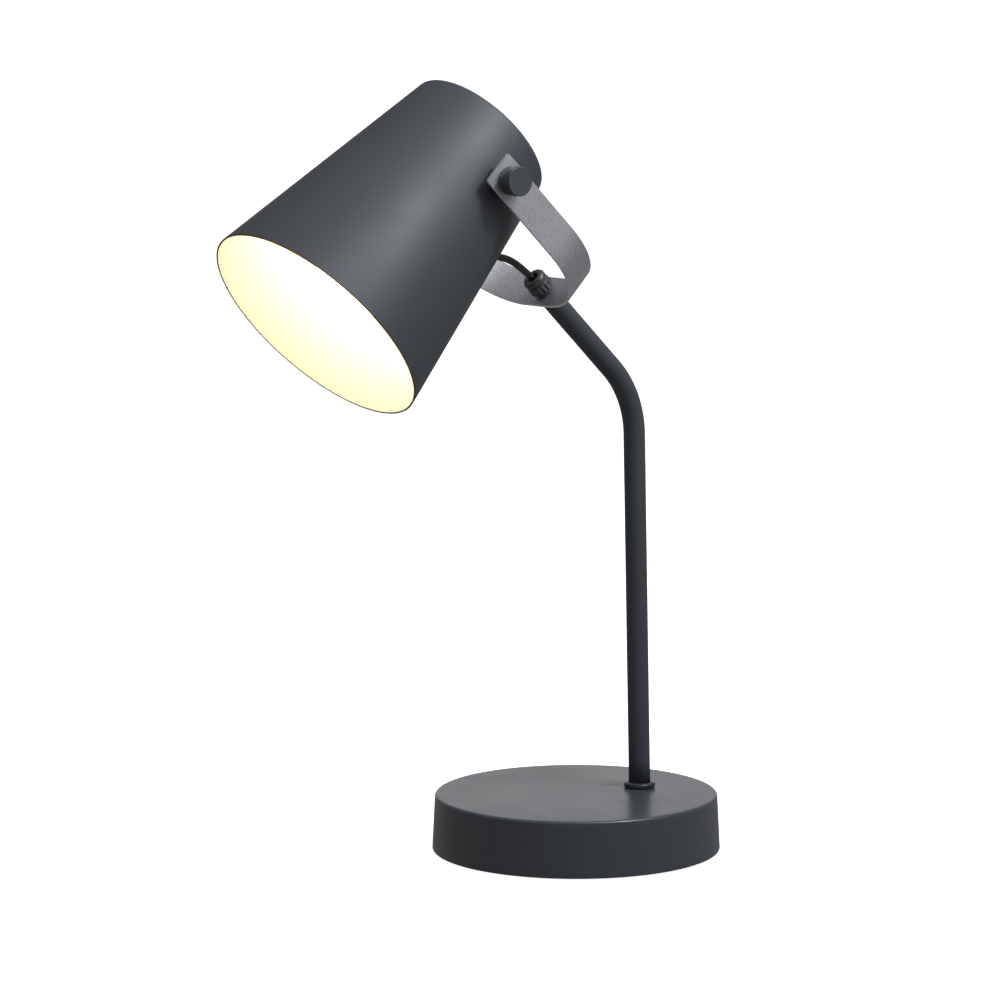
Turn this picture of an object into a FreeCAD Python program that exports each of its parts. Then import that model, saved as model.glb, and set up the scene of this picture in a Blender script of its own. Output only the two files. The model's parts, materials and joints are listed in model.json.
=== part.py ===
import FreeCAD, Part
import math
import os

from FreeCAD import Placement, Rotation, Vector

# Desk lamp with a round weighted base, a bent tube stem, a U-shaped strap bracket and a tapered shade that
# tilts between the bracket's arms. Millimetres. The origin is the centre of the base's underside, +Z is up
# and the shade points towards -X. The stem, bracket and shade share one plane of symmetry, parallel to XZ.
# The stem is held by one nut and stands turned on its foot, so that plane misses the base's centre.

# ---- driving dimensions: base
BASE_FOOT_R = 80.0
BASE_TOP_R = 78.4
BASE_TOP_Z = 31.6
BASE_EDGE_R = 1.6
COVER_WALL = 1.2
COVER_FOOT_Z = 0.6
PAD_T = 1.5
PLATE_T = 1.2
PLATE_R = 76.5
PLATE_HOLE_R = 2.0
WEIGHT_R = 70.0
WEIGHT_T = 11.0
WEIGHT_EDGE_R = 2.0
BOSS_R = 5.0
BOSS_CIRCLE_R = 58.0
BOSS_ANGLES = (60.0, 180.0, 300.0)
SCREW_R = 2.0
SCREW_DEPTH = 10.0
SCREW_HEAD_R = 3.6
SCREW_HEAD_LOW = 0.3
INLET_Z = 12.0
INLET_BORE_R = 3.5
INLET_NECK_R = 5.5
INLET_FLANGE_R = 7.5
INLET_PROUD = 2.2
BLOCK_LENGTH = 20.0
BLOCK_WIDTH = 18.0
BLOCK_HEIGHT = 11.0
BLOCK_X = -2.0
POLE_YS = (-4.2, 4.2)
POLE_HEIGHT = 4.5
BARREL_R = 2.6
BARREL_BORE_R = 1.5
BARREL_INSET = 1.5
GRUB_R = 1.2
GRUB_XS = (4.5, 15.5)

# ---- driving dimensions: stem
STEM_X = 37.2
STEM_Y = -10.3
STEM_LEAN = 1.16
TUBE_R = 6.0
TUBE_WALL = 1.0
STEM_CORNER_Z = 252.7
STEM_BEND_R = 54.0
STEM_INCLINE = 45.86
STEM_SLOPE_LENGTH = 85.0
COLLAR_R = 8.8
COLLAR_HEIGHT = 3.2
COLLAR_EDGE_R = 1.6
NIPPLE_R = 4.8
NIPPLE_BORE_R = 3.4
NIPPLE_RISE = 9.0
POCKET_R = 13.0
POCKET_DEPTH = 5.0
FERRULE_LENGTH = 14.0
THREAD_R = 3.9

# ---- driving dimensions: bracket, cord grip and pivots
STRAP_T = 1.5
STRAP_W = 19.5
STRAP_INSIDE = 54.3
STRAP_CORNER_R = 44.9
PIVOT_HEIGHT = 93.9
TAB_PAST_PIVOT = 10.7
TAB_CORNER_R = 2.0
GRIP_R = 6.2
GRIP_NECK_R = 5.2
GRIP_CAP_Z = 9.6
GRIP_CAP_R = 6.5
GRIP_TOP_R = 5.5
GRIP_TOP_Z = 13.0
GRIP_TAIL = 10.0
GRIP_BORE_R = 2.4
GRIP_MOUTH_R = 3.0
RIB_COUNT = 16
RIB_R = 0.55
STUD_R = 2.5
KNOB_R = 7.75
KNOB_FACE_Y = 65.1
KNOB_EDGE_R = 0.5
KNOB_FACE_T = 2.5
FIBRE_R = 7.5
FIBRE_T = 1.4
SPRING_R = 5.8
SPRING_T = 2.9
SPACER_R = 7.5
PAD_Y = 42.5
NUT_Y = 38.5

# ---- driving dimensions: shade
SHADE_BACK_R = 41.6
SHADE_MOUTH_R = 65.1
SHADE_L = 143.2
SHADE_WALL = 1.0
SHADE_EDGE_R = 2.5
SHADE_DROP = 41.17
PIVOT_FROM_BACK = 30.6
PIVOT_HOLE_R = 3.0
GROMMET_FROM_BACK = 35.5
GROMMET_R = 6.2
GROMMET_NECK_R = 4.4

# ---- driving dimensions: lampholder, heights from the shade's back
HOLDER_BORE_R = 5.0
NIPPLE_ENDS = (-4.8, 8.4)
CAP_NUT_R = 7.5
CAP_NUT_HEIGHT = 6.5
STAR_R = 8.6
STAR_T = 0.8
DOME_TOP_T = 2.2
DOME_R = 17.5
DOME_EDGE_R = 3.8
DOME_END_Z = 19.0
NECK_R = 16.0
NECK_Z = 13.0
NECK_WALL = 2.2
LEAD_PORT_Z = 9.2
LEAD_PORT_R = 2.9
CORE_LOW_Z = 11.6
CORE_HIGH_Z = 17.0
CORE_HOLE_YS = (-7.5, 7.5)
SHELL_R = 13.25
SHELL_T = 0.5
SHELL_END_Z = 40.0
CONTACT_W = 4.0
CONTACT_T = 0.5
SKIRT_R = 19.0
SKIRT_BORE_R = 15.6
SKIRT_END_Z = 50.0
SKIRT_GROOVE_ZS = (20.0, 24.0)
THREAD_PITCH = 3.6
THREAD_TURNS = 4

# ---- driving dimensions: bulb, heights from the shade's back
BULB_R = 30.0
BULB_TIP_Z = 123.5
BULB_NECK_R = 13.6
BULB_NECK_LENGTH = 7.0
GLASS_T = 0.8
CAP_R = 12.7
CAP_LOW_Z = 24.0
CAP_HIGH_Z = 45.0
INSULATOR_Z = 21.0
BULB_CONTACT_Z = 19.5
BULB_CONTACT_R = 4.6

# ---- driving dimensions: lead
LEAD_R = 2.0
LEAD_SPLIT = 6.0
LEAD_SAG = ((0.35, 9.8), (0.6, 7.4), (0.86, 9.2))
LEAD_TURN_Z = 14.5
LEAD_TURN_R = 9.0

FIT = 0.05
RUN_CLEARANCE = 0.1

# ---- derived places
UP = Vector(0, 0, 1)
ACROSS = Vector(0, 1, 0)
AHEAD = Vector(1, 0, 0)
ORIGIN = Vector(0, 0, 0)
STEM_TURN = Rotation(ACROSS, -STEM_INCLINE)
SHADE_TURN = Rotation(ACROSS, -(90.0 + SHADE_DROP))
TO_RIGHT = Rotation(AHEAD, -90.0)
SLOPE = STEM_TURN.multVec(UP)
BEAM = SHADE_TURN.multVec(UP)
STEM_FOOT = Vector(STEM_X, STEM_Y, BASE_TOP_Z)
STEM_RISE = STEM_CORNER_Z - BASE_TOP_Z
STEM_CORNER = STEM_FOOT + Vector(-STEM_RISE * math.tan(math.radians(STEM_LEAN)), 0, STEM_RISE)
STRAP_MIDDLE = STEM_CORNER + SLOPE * STEM_SLOPE_LENGTH
PIVOT = STRAP_MIDDLE + SLOPE * PIVOT_HEIGHT
SHADE_BACK = PIVOT - BEAM * PIVOT_FROM_BACK
STEM_FRAME = Placement(STRAP_MIDDLE, STEM_TURN)
SHADE_FRAME = Placement(SHADE_BACK, SHADE_TURN)
PIVOT_FRAME = Placement(Vector(0, 0, PIVOT_FROM_BACK), TO_RIGHT)
SHADE_TAPER = (SHADE_MOUTH_R - SHADE_BACK_R) / SHADE_L
BASE_TAPER = (BASE_FOOT_R - BASE_TOP_R) / (BASE_TOP_Z - COVER_FOOT_Z)
STRAP_OUTSIDE = STRAP_INSIDE + STRAP_T
STRAP_TOP = PIVOT_HEIGHT + TAB_PAST_PIVOT
WEIGHT_TOP_Z = BASE_TOP_Z - COVER_WALL
WEIGHT_FOOT_Z = WEIGHT_TOP_Z - WEIGHT_T
PLATE_TOP_Z = PAD_T + PLATE_T
POCKET_Z = WEIGHT_FOOT_Z + POCKET_DEPTH
BLOCK_Z = WEIGHT_FOOT_Z - BLOCK_HEIGHT
POLE_Z = BLOCK_Z + POLE_HEIGHT
FIBRE_Y = STRAP_OUTSIDE + FIBRE_T
SPRING_Y = FIBRE_Y + SPRING_T
SPACER_Y = STRAP_INSIDE - FIT
KNOB_BACK_Y = SPRING_Y + FIT
STUD_END_Y = KNOB_FACE_Y - KNOB_FACE_T
STUD_TIP_Y = NUT_Y - 2.0
GROMMET_X = -(SHADE_BACK_R + SHADE_TAPER * GROMMET_FROM_BACK)
LEAD_END_X = GROMMET_X + 1.5
STAR_Z = SHADE_WALL + STAR_T
HOLLOW_R = NECK_R - NECK_WALL
LEAD_BORE_R = LEAD_R + RUN_CLEARANCE
FULL_TURN = 360.0


# ---- shared shapes
def rod(radius, low, high, x=0.0, y=0.0):
    """A solid cylinder along Z."""
    return Part.makeCylinder(radius, high - low, Vector(x, y, low), UP)


def ring(outer, inner, low, high, x=0.0, y=0.0):
    """A tube or washer along Z."""
    return rod(outer, low, high, x, y).cut(rod(inner, low, high, x, y))


def rod_across(radius, near, far, x=0.0, z=0.0):
    """A solid cylinder along Y."""
    return Part.makeCylinder(radius, far - near, Vector(x, near, z), ACROSS)


def rod_ahead(radius, near, far, y=0.0, z=0.0):
    """A solid cylinder along X."""
    return Part.makeCylinder(radius, far - near, Vector(near, y, z), AHEAD)


def ring_across(outer, inner, near, far, z):
    """A washer along Y."""
    return rod_across(outer, near, far, 0, z).cut(rod_across(inner, near, far, 0, z))


def turned(profile):
    """A solid of revolution about Z from a closed list of (radius, height) corners."""
    corners = [Vector(radius, 0, height) for radius, height in profile]
    face = Part.Face(Part.makePolygon(corners + corners[:1]))
    return face.revolve(ORIGIN, UP, FULL_TURN)


def hexagon(across_flats, low, high):
    """A hexagonal prism along Z."""
    corner_r = across_flats / math.sqrt(3.0)
    angles = [math.pi / 3 * i for i in range(7)]
    outline = Part.makePolygon([Vector(corner_r * math.cos(a), corner_r * math.sin(a), low) for a in angles])
    return Part.Face(outline).extrude(UP * (high - low))


def nut(across_flats, bore, low, high):
    """A hexagonal nut along Z with turned-off corners."""
    corner_r = across_flats / math.sqrt(3.0)
    chamfer = 0.08 * across_flats
    dish = turned([(0, low), (corner_r - chamfer, low), (corner_r + FIT, low + chamfer),
                   (corner_r + FIT, high - chamfer), (corner_r - chamfer, high), (0, high)])
    return hexagon(across_flats, low, high).common(dish).cut(rod(bore, low, high))


def star_washer(outer, inner, low, high, teeth=12):
    """A lock washer with a notched rim."""
    washer = ring(outer, inner, low, high)
    for i in range(teeth):
        angle = 2 * math.pi * i / teeth
        notch = rod(0.07 * outer, low, high, outer * math.cos(angle), outer * math.sin(angle))
        washer = washer.cut(notch)
    return washer


def edges_at(shape, height, radius):
    """The circular edges of a turned shape at one height and radius."""
    found = []
    for edge in shape.Edges:
        curve = edge.Curve
        if isinstance(curve, Part.Circle) and abs(curve.Radius - radius) < FIT / 5:
            if abs(curve.Center.z - height) < FIT / 5:
                found.append(edge)
    return found


def rounded(shape, size, *places):
    """The shape with its circular edges at each (height, radius) rounded to a size."""
    edges = []
    for height, radius in places:
        edges += edges_at(shape, height, radius)
    return shape.makeFillet(size, edges)


def path_of(route, radii=None):
    """A wire of straight runs and tangent arcs past each inner point of a route.

    An arc's radius is 0.45 of the shorter run over the tangent of half the turn, or the one given in radii.
    """
    radii = radii or {}
    edges = []
    used = []
    start = route[0]
    for i in range(1, len(route) - 1):
        before = route[i] - route[i - 1]
        after = route[i + 1] - route[i]
        half = before.getAngle(after) / 2
        radius = radii.get(i, 0.45 * min(before.Length, after.Length) / math.tan(half))
        reach = radius * math.tan(half)
        into = Vector(before).normalize()
        out = Vector(after).normalize()
        first = route[i] - into * reach
        last = route[i] + out * reach
        inward = (out - into).normalize()
        middle = route[i] + inward * (radius / math.cos(half) - radius)
        if (first - start).Length > FIT:
            edges.append(Part.LineSegment(start, first).toShape())
        edges.append(Part.Arc(first, middle, last).toShape())
        used.append(round(radius, 1))
        start = last
    edges.append(Part.LineSegment(start, route[-1]).toShape())
    return Part.Wire(edges), used


def tube_along(name, route, radius, radii=None):
    """A round solid along a route, with its arcs and volume printed for checking."""
    wire, used = path_of(route, radii)
    direction = Vector(route[1] - route[0]).normalize()
    section = Part.Wire(Part.Edge(Part.Circle(route[0], direction, radius)))
    solid = wire.makePipeShell([section], True, False)
    share = solid.Volume / (math.pi * radius**2 * wire.Length)
    print(f"{name}: length {wire.Length:.1f}, arc radii {used}, volume share {share:.4f}")
    return solid


def both_sides(shape):
    """A shape built on the +Y side, with its mirror image on the -Y side."""
    return Part.makeCompound([shape, mirrored(shape)])


def mirrored(shape):
    """The shape's mirror image in the local XZ plane."""
    return shape.mirror(ORIGIN, ACROSS)


def placed(shape, frame):
    """A copy of the shape moved from a local frame into the lamp's frame."""
    copy = shape.copy()
    copy.Placement = frame.multiply(copy.Placement)
    return copy


def in_shade(shape):
    """A shape built in the shade's frame, moved into the lamp's."""
    return placed(shape, SHADE_FRAME)


def at_stem(shape):
    """A shape built on the Z axis, moved to the stem's foot."""
    return placed(shape, Placement(Vector(STEM_X, STEM_Y, 0), Rotation()))


# ---- base
def base_radius(z):
    """The cover's outside radius at a height."""
    return BASE_TOP_R + BASE_TAPER * (BASE_TOP_Z - z)


def cover_block(inset):
    """The base cover's outer form, drawn in by an inset."""
    high = BASE_TOP_Z - inset
    low = COVER_FOOT_Z if inset == 0 else COVER_FOOT_Z - 1
    block = turned([(0, low), (base_radius(low) - inset, low), (base_radius(high) - inset, high), (0, high)])
    return rounded(block, BASE_EDGE_R - inset / 2, (high, base_radius(high) - inset))


def base_cover():
    """Pressed steel drum, open below, with holes for the stem's nipple and the cord bush."""
    cover = cover_block(0).cut(cover_block(COVER_WALL))
    cover = cover.cut(rod(NIPPLE_R + FIT, WEIGHT_TOP_Z - 1, BASE_TOP_Z + 1, STEM_X, STEM_Y))
    return cover.cut(rod_ahead(INLET_NECK_R, BASE_TOP_R - 10, BASE_FOOT_R + 5, 0, INLET_Z))


def boss_places():
    """Centres of the weight's three screw bosses."""
    angles = [math.radians(a) for a in BOSS_ANGLES]
    return [(BOSS_CIRCLE_R * math.cos(a), BOSS_CIRCLE_R * math.sin(a)) for a in angles]


def base_weight():
    """Cast iron disc with three bosses, and a pocket round the stem's nut."""
    disc = rod(WEIGHT_R, WEIGHT_FOOT_Z, WEIGHT_TOP_Z)
    weight = rounded(disc, WEIGHT_EDGE_R, (WEIGHT_FOOT_Z, WEIGHT_R))
    for x, y in boss_places():
        weight = weight.fuse(rod(BOSS_R, PLATE_TOP_Z, WEIGHT_FOOT_Z + 1, x, y))
        weight = weight.cut(rod(SCREW_R, PLATE_TOP_Z, PLATE_TOP_Z + SCREW_DEPTH + 2, x, y))
    weight = weight.cut(rod(POCKET_R, WEIGHT_FOOT_Z, POCKET_Z, STEM_X, STEM_Y))
    bore = rod(NIPPLE_R + FIT, WEIGHT_FOOT_Z, WEIGHT_TOP_Z, STEM_X, STEM_Y)
    return weight.cut(bore).removeSplitter()


def bottom_plate():
    """Steel disc that closes the base from below."""
    plate = rod(PLATE_R, PAD_T, PLATE_TOP_Z)
    for x, y in boss_places():
        plate = plate.cut(rod(PLATE_HOLE_R, PAD_T, PLATE_TOP_Z, x, y))
    return plate


def base_pad():
    """Foam pad that the lamp rests on, with clearance holes for the screw heads."""
    pad = rod(PLATE_R, 0, PAD_T)
    for x, y in boss_places():
        pad = pad.cut(rod(SCREW_HEAD_R + 1, 0, PAD_T, x, y))
    return pad


def plate_screws():
    """Three pan-head screws that hold the plate to the weight's bosses."""
    slot = Vector(2 * SCREW_HEAD_R, 0.8, 0.6)
    screws = []
    for x, y in boss_places():
        corner = Vector(x - slot.x / 2, y - slot.y / 2, SCREW_HEAD_LOW)
        head = rod(SCREW_HEAD_R, SCREW_HEAD_LOW, PAD_T, x, y)
        head = head.cut(Part.makeBox(slot.x, slot.y, slot.z, corner))
        screws.append(head.fuse(rod(SCREW_R, PAD_T, PLATE_TOP_Z + SCREW_DEPTH, x, y)))
    return Part.makeCompound(screws)


def cord_inlet_bush():
    """Rubber bush in the back of the cover, where the mains cord enters."""
    wall = base_radius(INLET_Z)
    outer = wall + INLET_PROUD
    inner = wall - COVER_WALL - 2.7
    flange = rod_ahead(INLET_FLANGE_R, wall - 2, outer, 0, INLET_Z).cut(cover_block(0))
    lip = rod_ahead(INLET_FLANGE_R - 0.5, inner, wall - COVER_WALL / 2, 0, INLET_Z)
    lip = lip.common(cover_block(COVER_WALL))
    neck = rod_ahead(INLET_NECK_R, inner, outer, 0, INLET_Z)
    bore = rod_ahead(INLET_BORE_R, inner - 1, outer + 1, 0, INLET_Z)
    return flange.fuse(lip).fuse(neck).cut(bore).removeSplitter()


def terminal_block():
    """Two-pole moulded terminal block under the weight."""
    corner = Vector(BLOCK_X, -BLOCK_WIDTH / 2, BLOCK_Z)
    block = Part.makeBox(BLOCK_LENGTH, BLOCK_WIDTH, BLOCK_HEIGHT, corner)
    block = block.makeFillet(1.0, [e for e in block.Edges if abs(e.tangentAt(0).z) > 0.9])
    for y in POLE_YS:
        block = block.cut(rod_ahead(BARREL_R, BLOCK_X, BLOCK_X + BLOCK_LENGTH, y, POLE_Z))
        for dx in GRUB_XS:
            block = block.cut(rod(GRUB_R + 0.4, BLOCK_Z, POLE_Z, BLOCK_X + dx, y))
    return block


def terminal_barrels():
    """Brass barrels that join the cord's cores to the lead's."""
    near = BLOCK_X + BARREL_INSET
    far = BLOCK_X + BLOCK_LENGTH - BARREL_INSET
    barrels = []
    for y in POLE_YS:
        barrel = rod_ahead(BARREL_R, near, far, y, POLE_Z).cut(rod_ahead(BARREL_BORE_R, near, far, y, POLE_Z))
        for dx in GRUB_XS:
            barrel = barrel.cut(rod(GRUB_R, BLOCK_Z, POLE_Z, BLOCK_X + dx, y))
        barrels.append(barrel)
    return Part.makeCompound(barrels)


def terminal_screws():
    """Four slotted grub screws in the barrels."""
    low = BLOCK_Z + 0.6
    slot = Vector(2 * GRUB_R, 0.5, 0.7)
    screws = []
    for y in POLE_YS:
        for dx in GRUB_XS:
            x = BLOCK_X + dx
            cut = Part.makeBox(slot.x, slot.y, slot.z, Vector(x - slot.x / 2, y - slot.y / 2, low))
            screws.append(rod(GRUB_R, low, POLE_Z - 0.4, x, y).cut(cut))
    return Part.makeCompound(screws)


# ---- stem
def stem_nipple():
    """Hollow threaded tube that joins the stem to the base."""
    return at_stem(ring(NIPPLE_R, NIPPLE_BORE_R, WEIGHT_FOOT_Z + 0.2, BASE_TOP_Z + NIPPLE_RISE))


def stem_washer():
    """Lock washer in the weight's pocket."""
    return at_stem(star_washer(9.0, NIPPLE_R, POCKET_Z - 1.0, POCKET_Z))


def stem_nut():
    """Nut that clamps stem, cover and weight together."""
    return at_stem(nut(14.0, NIPPLE_R, WEIGHT_FOOT_Z + 0.6, POCKET_Z - 1.0))


def stem_collar():
    """Rounded ring round the tube where it meets the base."""
    top = BASE_TOP_Z + COLLAR_HEIGHT
    collar = ring(COLLAR_R, TUBE_R + RUN_CLEARANCE, BASE_TOP_Z, top)
    return at_stem(rounded(collar, COLLAR_EDGE_R, (top, COLLAR_R)))


def stem_tube():
    """Bent steel tube from the base to the strap, leaning a little and cut level at its foot."""
    below = STEM_FOOT - (STEM_CORNER - STEM_FOOT).normalize()
    route = [below, STEM_CORNER, STRAP_MIDDLE]
    outside = tube_along("stem outside", route, TUBE_R, {1: STEM_BEND_R})
    inside = tube_along("stem inside", route, TUBE_R - TUBE_WALL, {1: STEM_BEND_R})
    return outside.cut(inside).cut(rod(2 * TUBE_R, BASE_TOP_Z - 2, BASE_TOP_Z, STEM_X, STEM_Y))


def head_ferrule():
    """Threaded insert in the tube's upper end, which the cord grip screws into."""
    return placed(ring(TUBE_R - TUBE_WALL, THREAD_R, -FERRULE_LENGTH, 0), STEM_FRAME)


def lead_in_stem():
    """Lead from the terminal block, up the nipple and the tube, into the cord grip."""
    start = Vector(BLOCK_X + BLOCK_LENGTH + 0.7, 0, POLE_Z)
    across = Vector(STEM_X, STEM_Y, POLE_Z) - start
    route = [start]
    for share, height in LEAD_SAG:
        point = start + across * share
        route.append(Vector(point.x, point.y, height))
    route += [Vector(STEM_X, STEM_Y, LEAD_TURN_Z), STEM_CORNER, STRAP_MIDDLE + SLOPE * LEAD_SPLIT]
    turn = len(LEAD_SAG) + 1
    return tube_along("lead in stem", route, LEAD_R, {turn: LEAD_TURN_R, turn + 1: STEM_BEND_R})


# ---- bracket
def strap_outline(inside):
    """A U-shaped face in the local YZ plane, to the strap's inside or to its outside."""
    half = STRAP_INSIDE if inside else STRAP_OUTSIDE
    radius = STRAP_CORNER_R if inside else STRAP_CORNER_R + STRAP_T
    low = STRAP_T if inside else 0.0
    high = STRAP_TOP + 1 if inside else STRAP_TOP
    spring = low + radius
    flat = half - radius
    lean = radius * math.sqrt(0.5)
    edges = [Part.LineSegment(Vector(0, -half, high), Vector(0, -half, spring)).toShape(),
             Part.Arc(Vector(0, -half, spring), Vector(0, -flat - lean, spring - lean),
                      Vector(0, -flat, low)).toShape(),
             Part.LineSegment(Vector(0, -flat, low), Vector(0, flat, low)).toShape(),
             Part.Arc(Vector(0, flat, low), Vector(0, flat + lean, spring - lean),
                      Vector(0, half, spring)).toShape(),
             Part.LineSegment(Vector(0, half, spring), Vector(0, half, high)).toShape(),
             Part.LineSegment(Vector(0, half, high), Vector(0, -half, high)).toShape()]
    return Part.Face(Part.Wire(edges))


def strap_side():
    """The strap's side view, a strip with two rounded upper corners, as a block across the lamp."""
    half = STRAP_W / 2
    strip = Part.makeBox(STRAP_W, 2 * STRAP_OUTSIDE, STRAP_TOP + 1, Vector(-half, -STRAP_OUTSIDE, -1))
    corners = [e for e in strip.Edges if abs(e.tangentAt(0).y) > 0.9 and e.CenterOfMass.z > STRAP_TOP - 1]
    return strip.makeFillet(TAB_CORNER_R, corners)


def bracket():
    """U-shaped strap between the stem and the shade's two pivots."""
    sweep = AHEAD * STRAP_W
    block = strap_outline(False).extrude(sweep).cut(strap_outline(True).extrude(sweep))
    block.translate(AHEAD * (-STRAP_W / 2))
    strap = block.common(strap_side())
    pivots = rod_across(STUD_R + RUN_CLEARANCE, -STRAP_OUTSIDE - 1, STRAP_OUTSIDE + 1, 0, PIVOT_HEIGHT)
    return placed(strap.cut(pivots).cut(rod(THREAD_R + FIT, -1, STRAP_T + 1)), STEM_FRAME)


def cord_grip_body():
    """Moulded cord grip with a threaded tail through the strap and a ribbed barrel."""
    shoulder = STRAP_T + 2.0
    body = turned([(GRIP_BORE_R, -GRIP_TAIL), (THREAD_R, -GRIP_TAIL), (THREAD_R, STRAP_T),
                   (GRIP_NECK_R, STRAP_T), (GRIP_R, shoulder), (GRIP_R, GRIP_CAP_Z - 0.8),
                   (GRIP_TOP_R, GRIP_CAP_Z - 0.3), (GRIP_TOP_R, GRIP_CAP_Z), (GRIP_BORE_R, GRIP_CAP_Z)])
    for i in range(RIB_COUNT):
        angle = 2 * math.pi * i / RIB_COUNT
        rib = rod(RIB_R, shoulder + 0.2, GRIP_CAP_Z - 1.0, GRIP_R * math.cos(angle), GRIP_R * math.sin(angle))
        body = body.fuse(rib)
    return placed(body.removeSplitter(), STEM_FRAME)


def cord_grip_cap():
    """Clamping cap of the cord grip, with a wide chamfer and the lead's hole."""
    cap = turned([(GRIP_MOUTH_R, GRIP_CAP_Z), (GRIP_CAP_R - 0.3, GRIP_CAP_Z), (GRIP_CAP_R, GRIP_CAP_Z + 0.5),
                  (GRIP_CAP_R, GRIP_TOP_Z - 1.3), (GRIP_TOP_R, GRIP_TOP_Z), (GRIP_MOUTH_R, GRIP_TOP_Z)])
    return placed(cap, STEM_FRAME)


def slope_point(along, sideways):
    """A point in the plane of symmetry, along the stem's slope from the strap and down towards the mouth."""
    return STEM_FRAME.multVec(Vector(-sideways, 0, along))


def shade_point(x, z):
    """A point in the plane of symmetry, in the shade's frame."""
    return SHADE_FRAME.multVec(Vector(x, 0, z))


def lead_at_head():
    """The lead's free stretch, from the cord grip to the grommet in the shade's underside."""
    route = [slope_point(LEAD_SPLIT, 0), slope_point(14.0, 0.6), slope_point(30.5, 2.9),
             shade_point(GROMMET_X - 6.5, GROMMET_FROM_BACK), shade_point(LEAD_END_X, GROMMET_FROM_BACK)]
    return tube_along("lead at head", route, LEAD_R)


# ---- pivots, built in the shade's frame on the +Y side
def wall_cone(inset):
    """The shade's tapered form without rounding, drawn in by an inset, longer than the shade at both ends."""
    spare = 10.0
    low_r = SHADE_BACK_R - SHADE_TAPER * spare - inset
    high_r = SHADE_MOUTH_R + SHADE_TAPER * spare - inset
    return Part.makeCone(low_r, high_r, SHADE_L + 2 * spare, Vector(0, 0, -spare), UP)


def pivot_spacer():
    """Nylon bush between the shade's wall and the strap."""
    bush = ring_across(SPACER_R, STUD_R + FIT, PAD_Y, SPACER_Y, PIVOT_FROM_BACK)
    return bush.cut(wall_cone(0))


def pivot_pad():
    """Saddle washer that fits the shade's curved inside."""
    return ring_across(SPACER_R, STUD_R + FIT, PAD_Y, SPACER_Y, PIVOT_FROM_BACK).common(wall_cone(SHADE_WALL))


def on_pivot(shape):
    """A shape built on the Z axis, laid on the pivot's axis, in the shade's frame."""
    return placed(shape, PIVOT_FRAME)


def pivot_nut():
    """Nut inside the shade that the knob's stud screws into."""
    return on_pivot(nut(8.0, STUD_R + FIT, NUT_Y, PAD_Y))


def fibre_washer():
    """Fibre washer under the knob, against the strap."""
    return on_pivot(ring(FIBRE_R, STUD_R + RUN_CLEARANCE, STRAP_OUTSIDE, FIBRE_Y))


def spring_washer():
    """Split spring washer between the fibre washer and the knob."""
    washer = ring(SPRING_R, STUD_R + RUN_CLEARANCE, FIBRE_Y, SPRING_Y)
    slit = Part.makeBox(0.8, SPRING_R + 1, SPRING_T, Vector(-0.4, 0, FIBRE_Y))
    return on_pivot(washer.cut(slit))


def clamp_knob():
    """Turned cylindrical knob with softened edges and a blind hole for its stud."""
    knob = rod(KNOB_R, KNOB_BACK_Y, KNOB_FACE_Y)
    knob = rounded(knob, KNOB_EDGE_R, (KNOB_BACK_Y, KNOB_R), (KNOB_FACE_Y, KNOB_R))
    return on_pivot(knob.cut(rod(STUD_R, KNOB_BACK_Y, STUD_END_Y)))


def clamp_stud():
    """Threaded stud fixed in the knob, which passes through strap, spacer and shade."""
    stud = rod(STUD_R, STUD_TIP_Y, STUD_END_Y)
    return on_pivot(stud.makeChamfer(0.6, edges_at(stud, STUD_TIP_Y, STUD_R)))


# ---- shade
def shade_block(inset):
    """The shade's outer form, drawn in by an inset, with its rounded back edge."""
    back_r = SHADE_BACK_R + SHADE_TAPER * inset - inset
    high = SHADE_L if inset == 0 else SHADE_L + 1
    mouth_r = SHADE_BACK_R + SHADE_TAPER * high - inset
    block = turned([(0, inset), (back_r, inset), (mouth_r, high), (0, high)])
    return rounded(block, SHADE_EDGE_R - inset, (inset, back_r))


def shade_shell():
    """Spun metal shade with holes for the lampholder, the two pivots and the lead."""
    shell = shade_block(0).cut(shade_block(SHADE_WALL))
    shell = shell.cut(rod(HOLDER_BORE_R, -1, SHADE_WALL + 1))
    shell = shell.cut(rod_across(PIVOT_HOLE_R, -SHADE_MOUTH_R, SHADE_MOUTH_R, 0, PIVOT_FROM_BACK))
    return shell.cut(rod_ahead(GROMMET_NECK_R, GROMMET_X - 5, GROMMET_X + 5, 0, GROMMET_FROM_BACK))


def lead_grommet():
    """Rubber grommet in the shade's underside, where the lead goes in."""
    low = GROMMET_X - 1.7
    high = GROMMET_X + 3.0
    outside = rod_ahead(GROMMET_R, low, high, 0, GROMMET_FROM_BACK).cut(wall_cone(0))
    inside = rod_ahead(GROMMET_R, low, high, 0, GROMMET_FROM_BACK).common(wall_cone(SHADE_WALL))
    neck = rod_ahead(GROMMET_NECK_R, low, high, 0, GROMMET_FROM_BACK)
    bore = rod_ahead(LEAD_BORE_R, low - 1, high + 1, 0, GROMMET_FROM_BACK)
    return outside.fuse(inside).fuse(neck).cut(bore).removeSplitter()


# ---- lampholder, built in the shade's frame
def holder_cap_nut():
    """Domed nut outside the shade's back, on the lampholder's nipple."""
    cap = rounded(rod(CAP_NUT_R, -CAP_NUT_HEIGHT, 0), CAP_NUT_R / 3, (-CAP_NUT_HEIGHT, CAP_NUT_R))
    return cap.cut(rod(HOLDER_BORE_R, 1.5 - CAP_NUT_HEIGHT, 0))


def holder_nipple():
    """Hollow threaded tube through the shade's back."""
    return ring(HOLDER_BORE_R - FIT, 3.6, *NIPPLE_ENDS)


def holder_star_washer():
    """Lock washer between the shade's back and the lampholder."""
    return star_washer(STAR_R, HOLDER_BORE_R, SHADE_WALL, STAR_Z)


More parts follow.
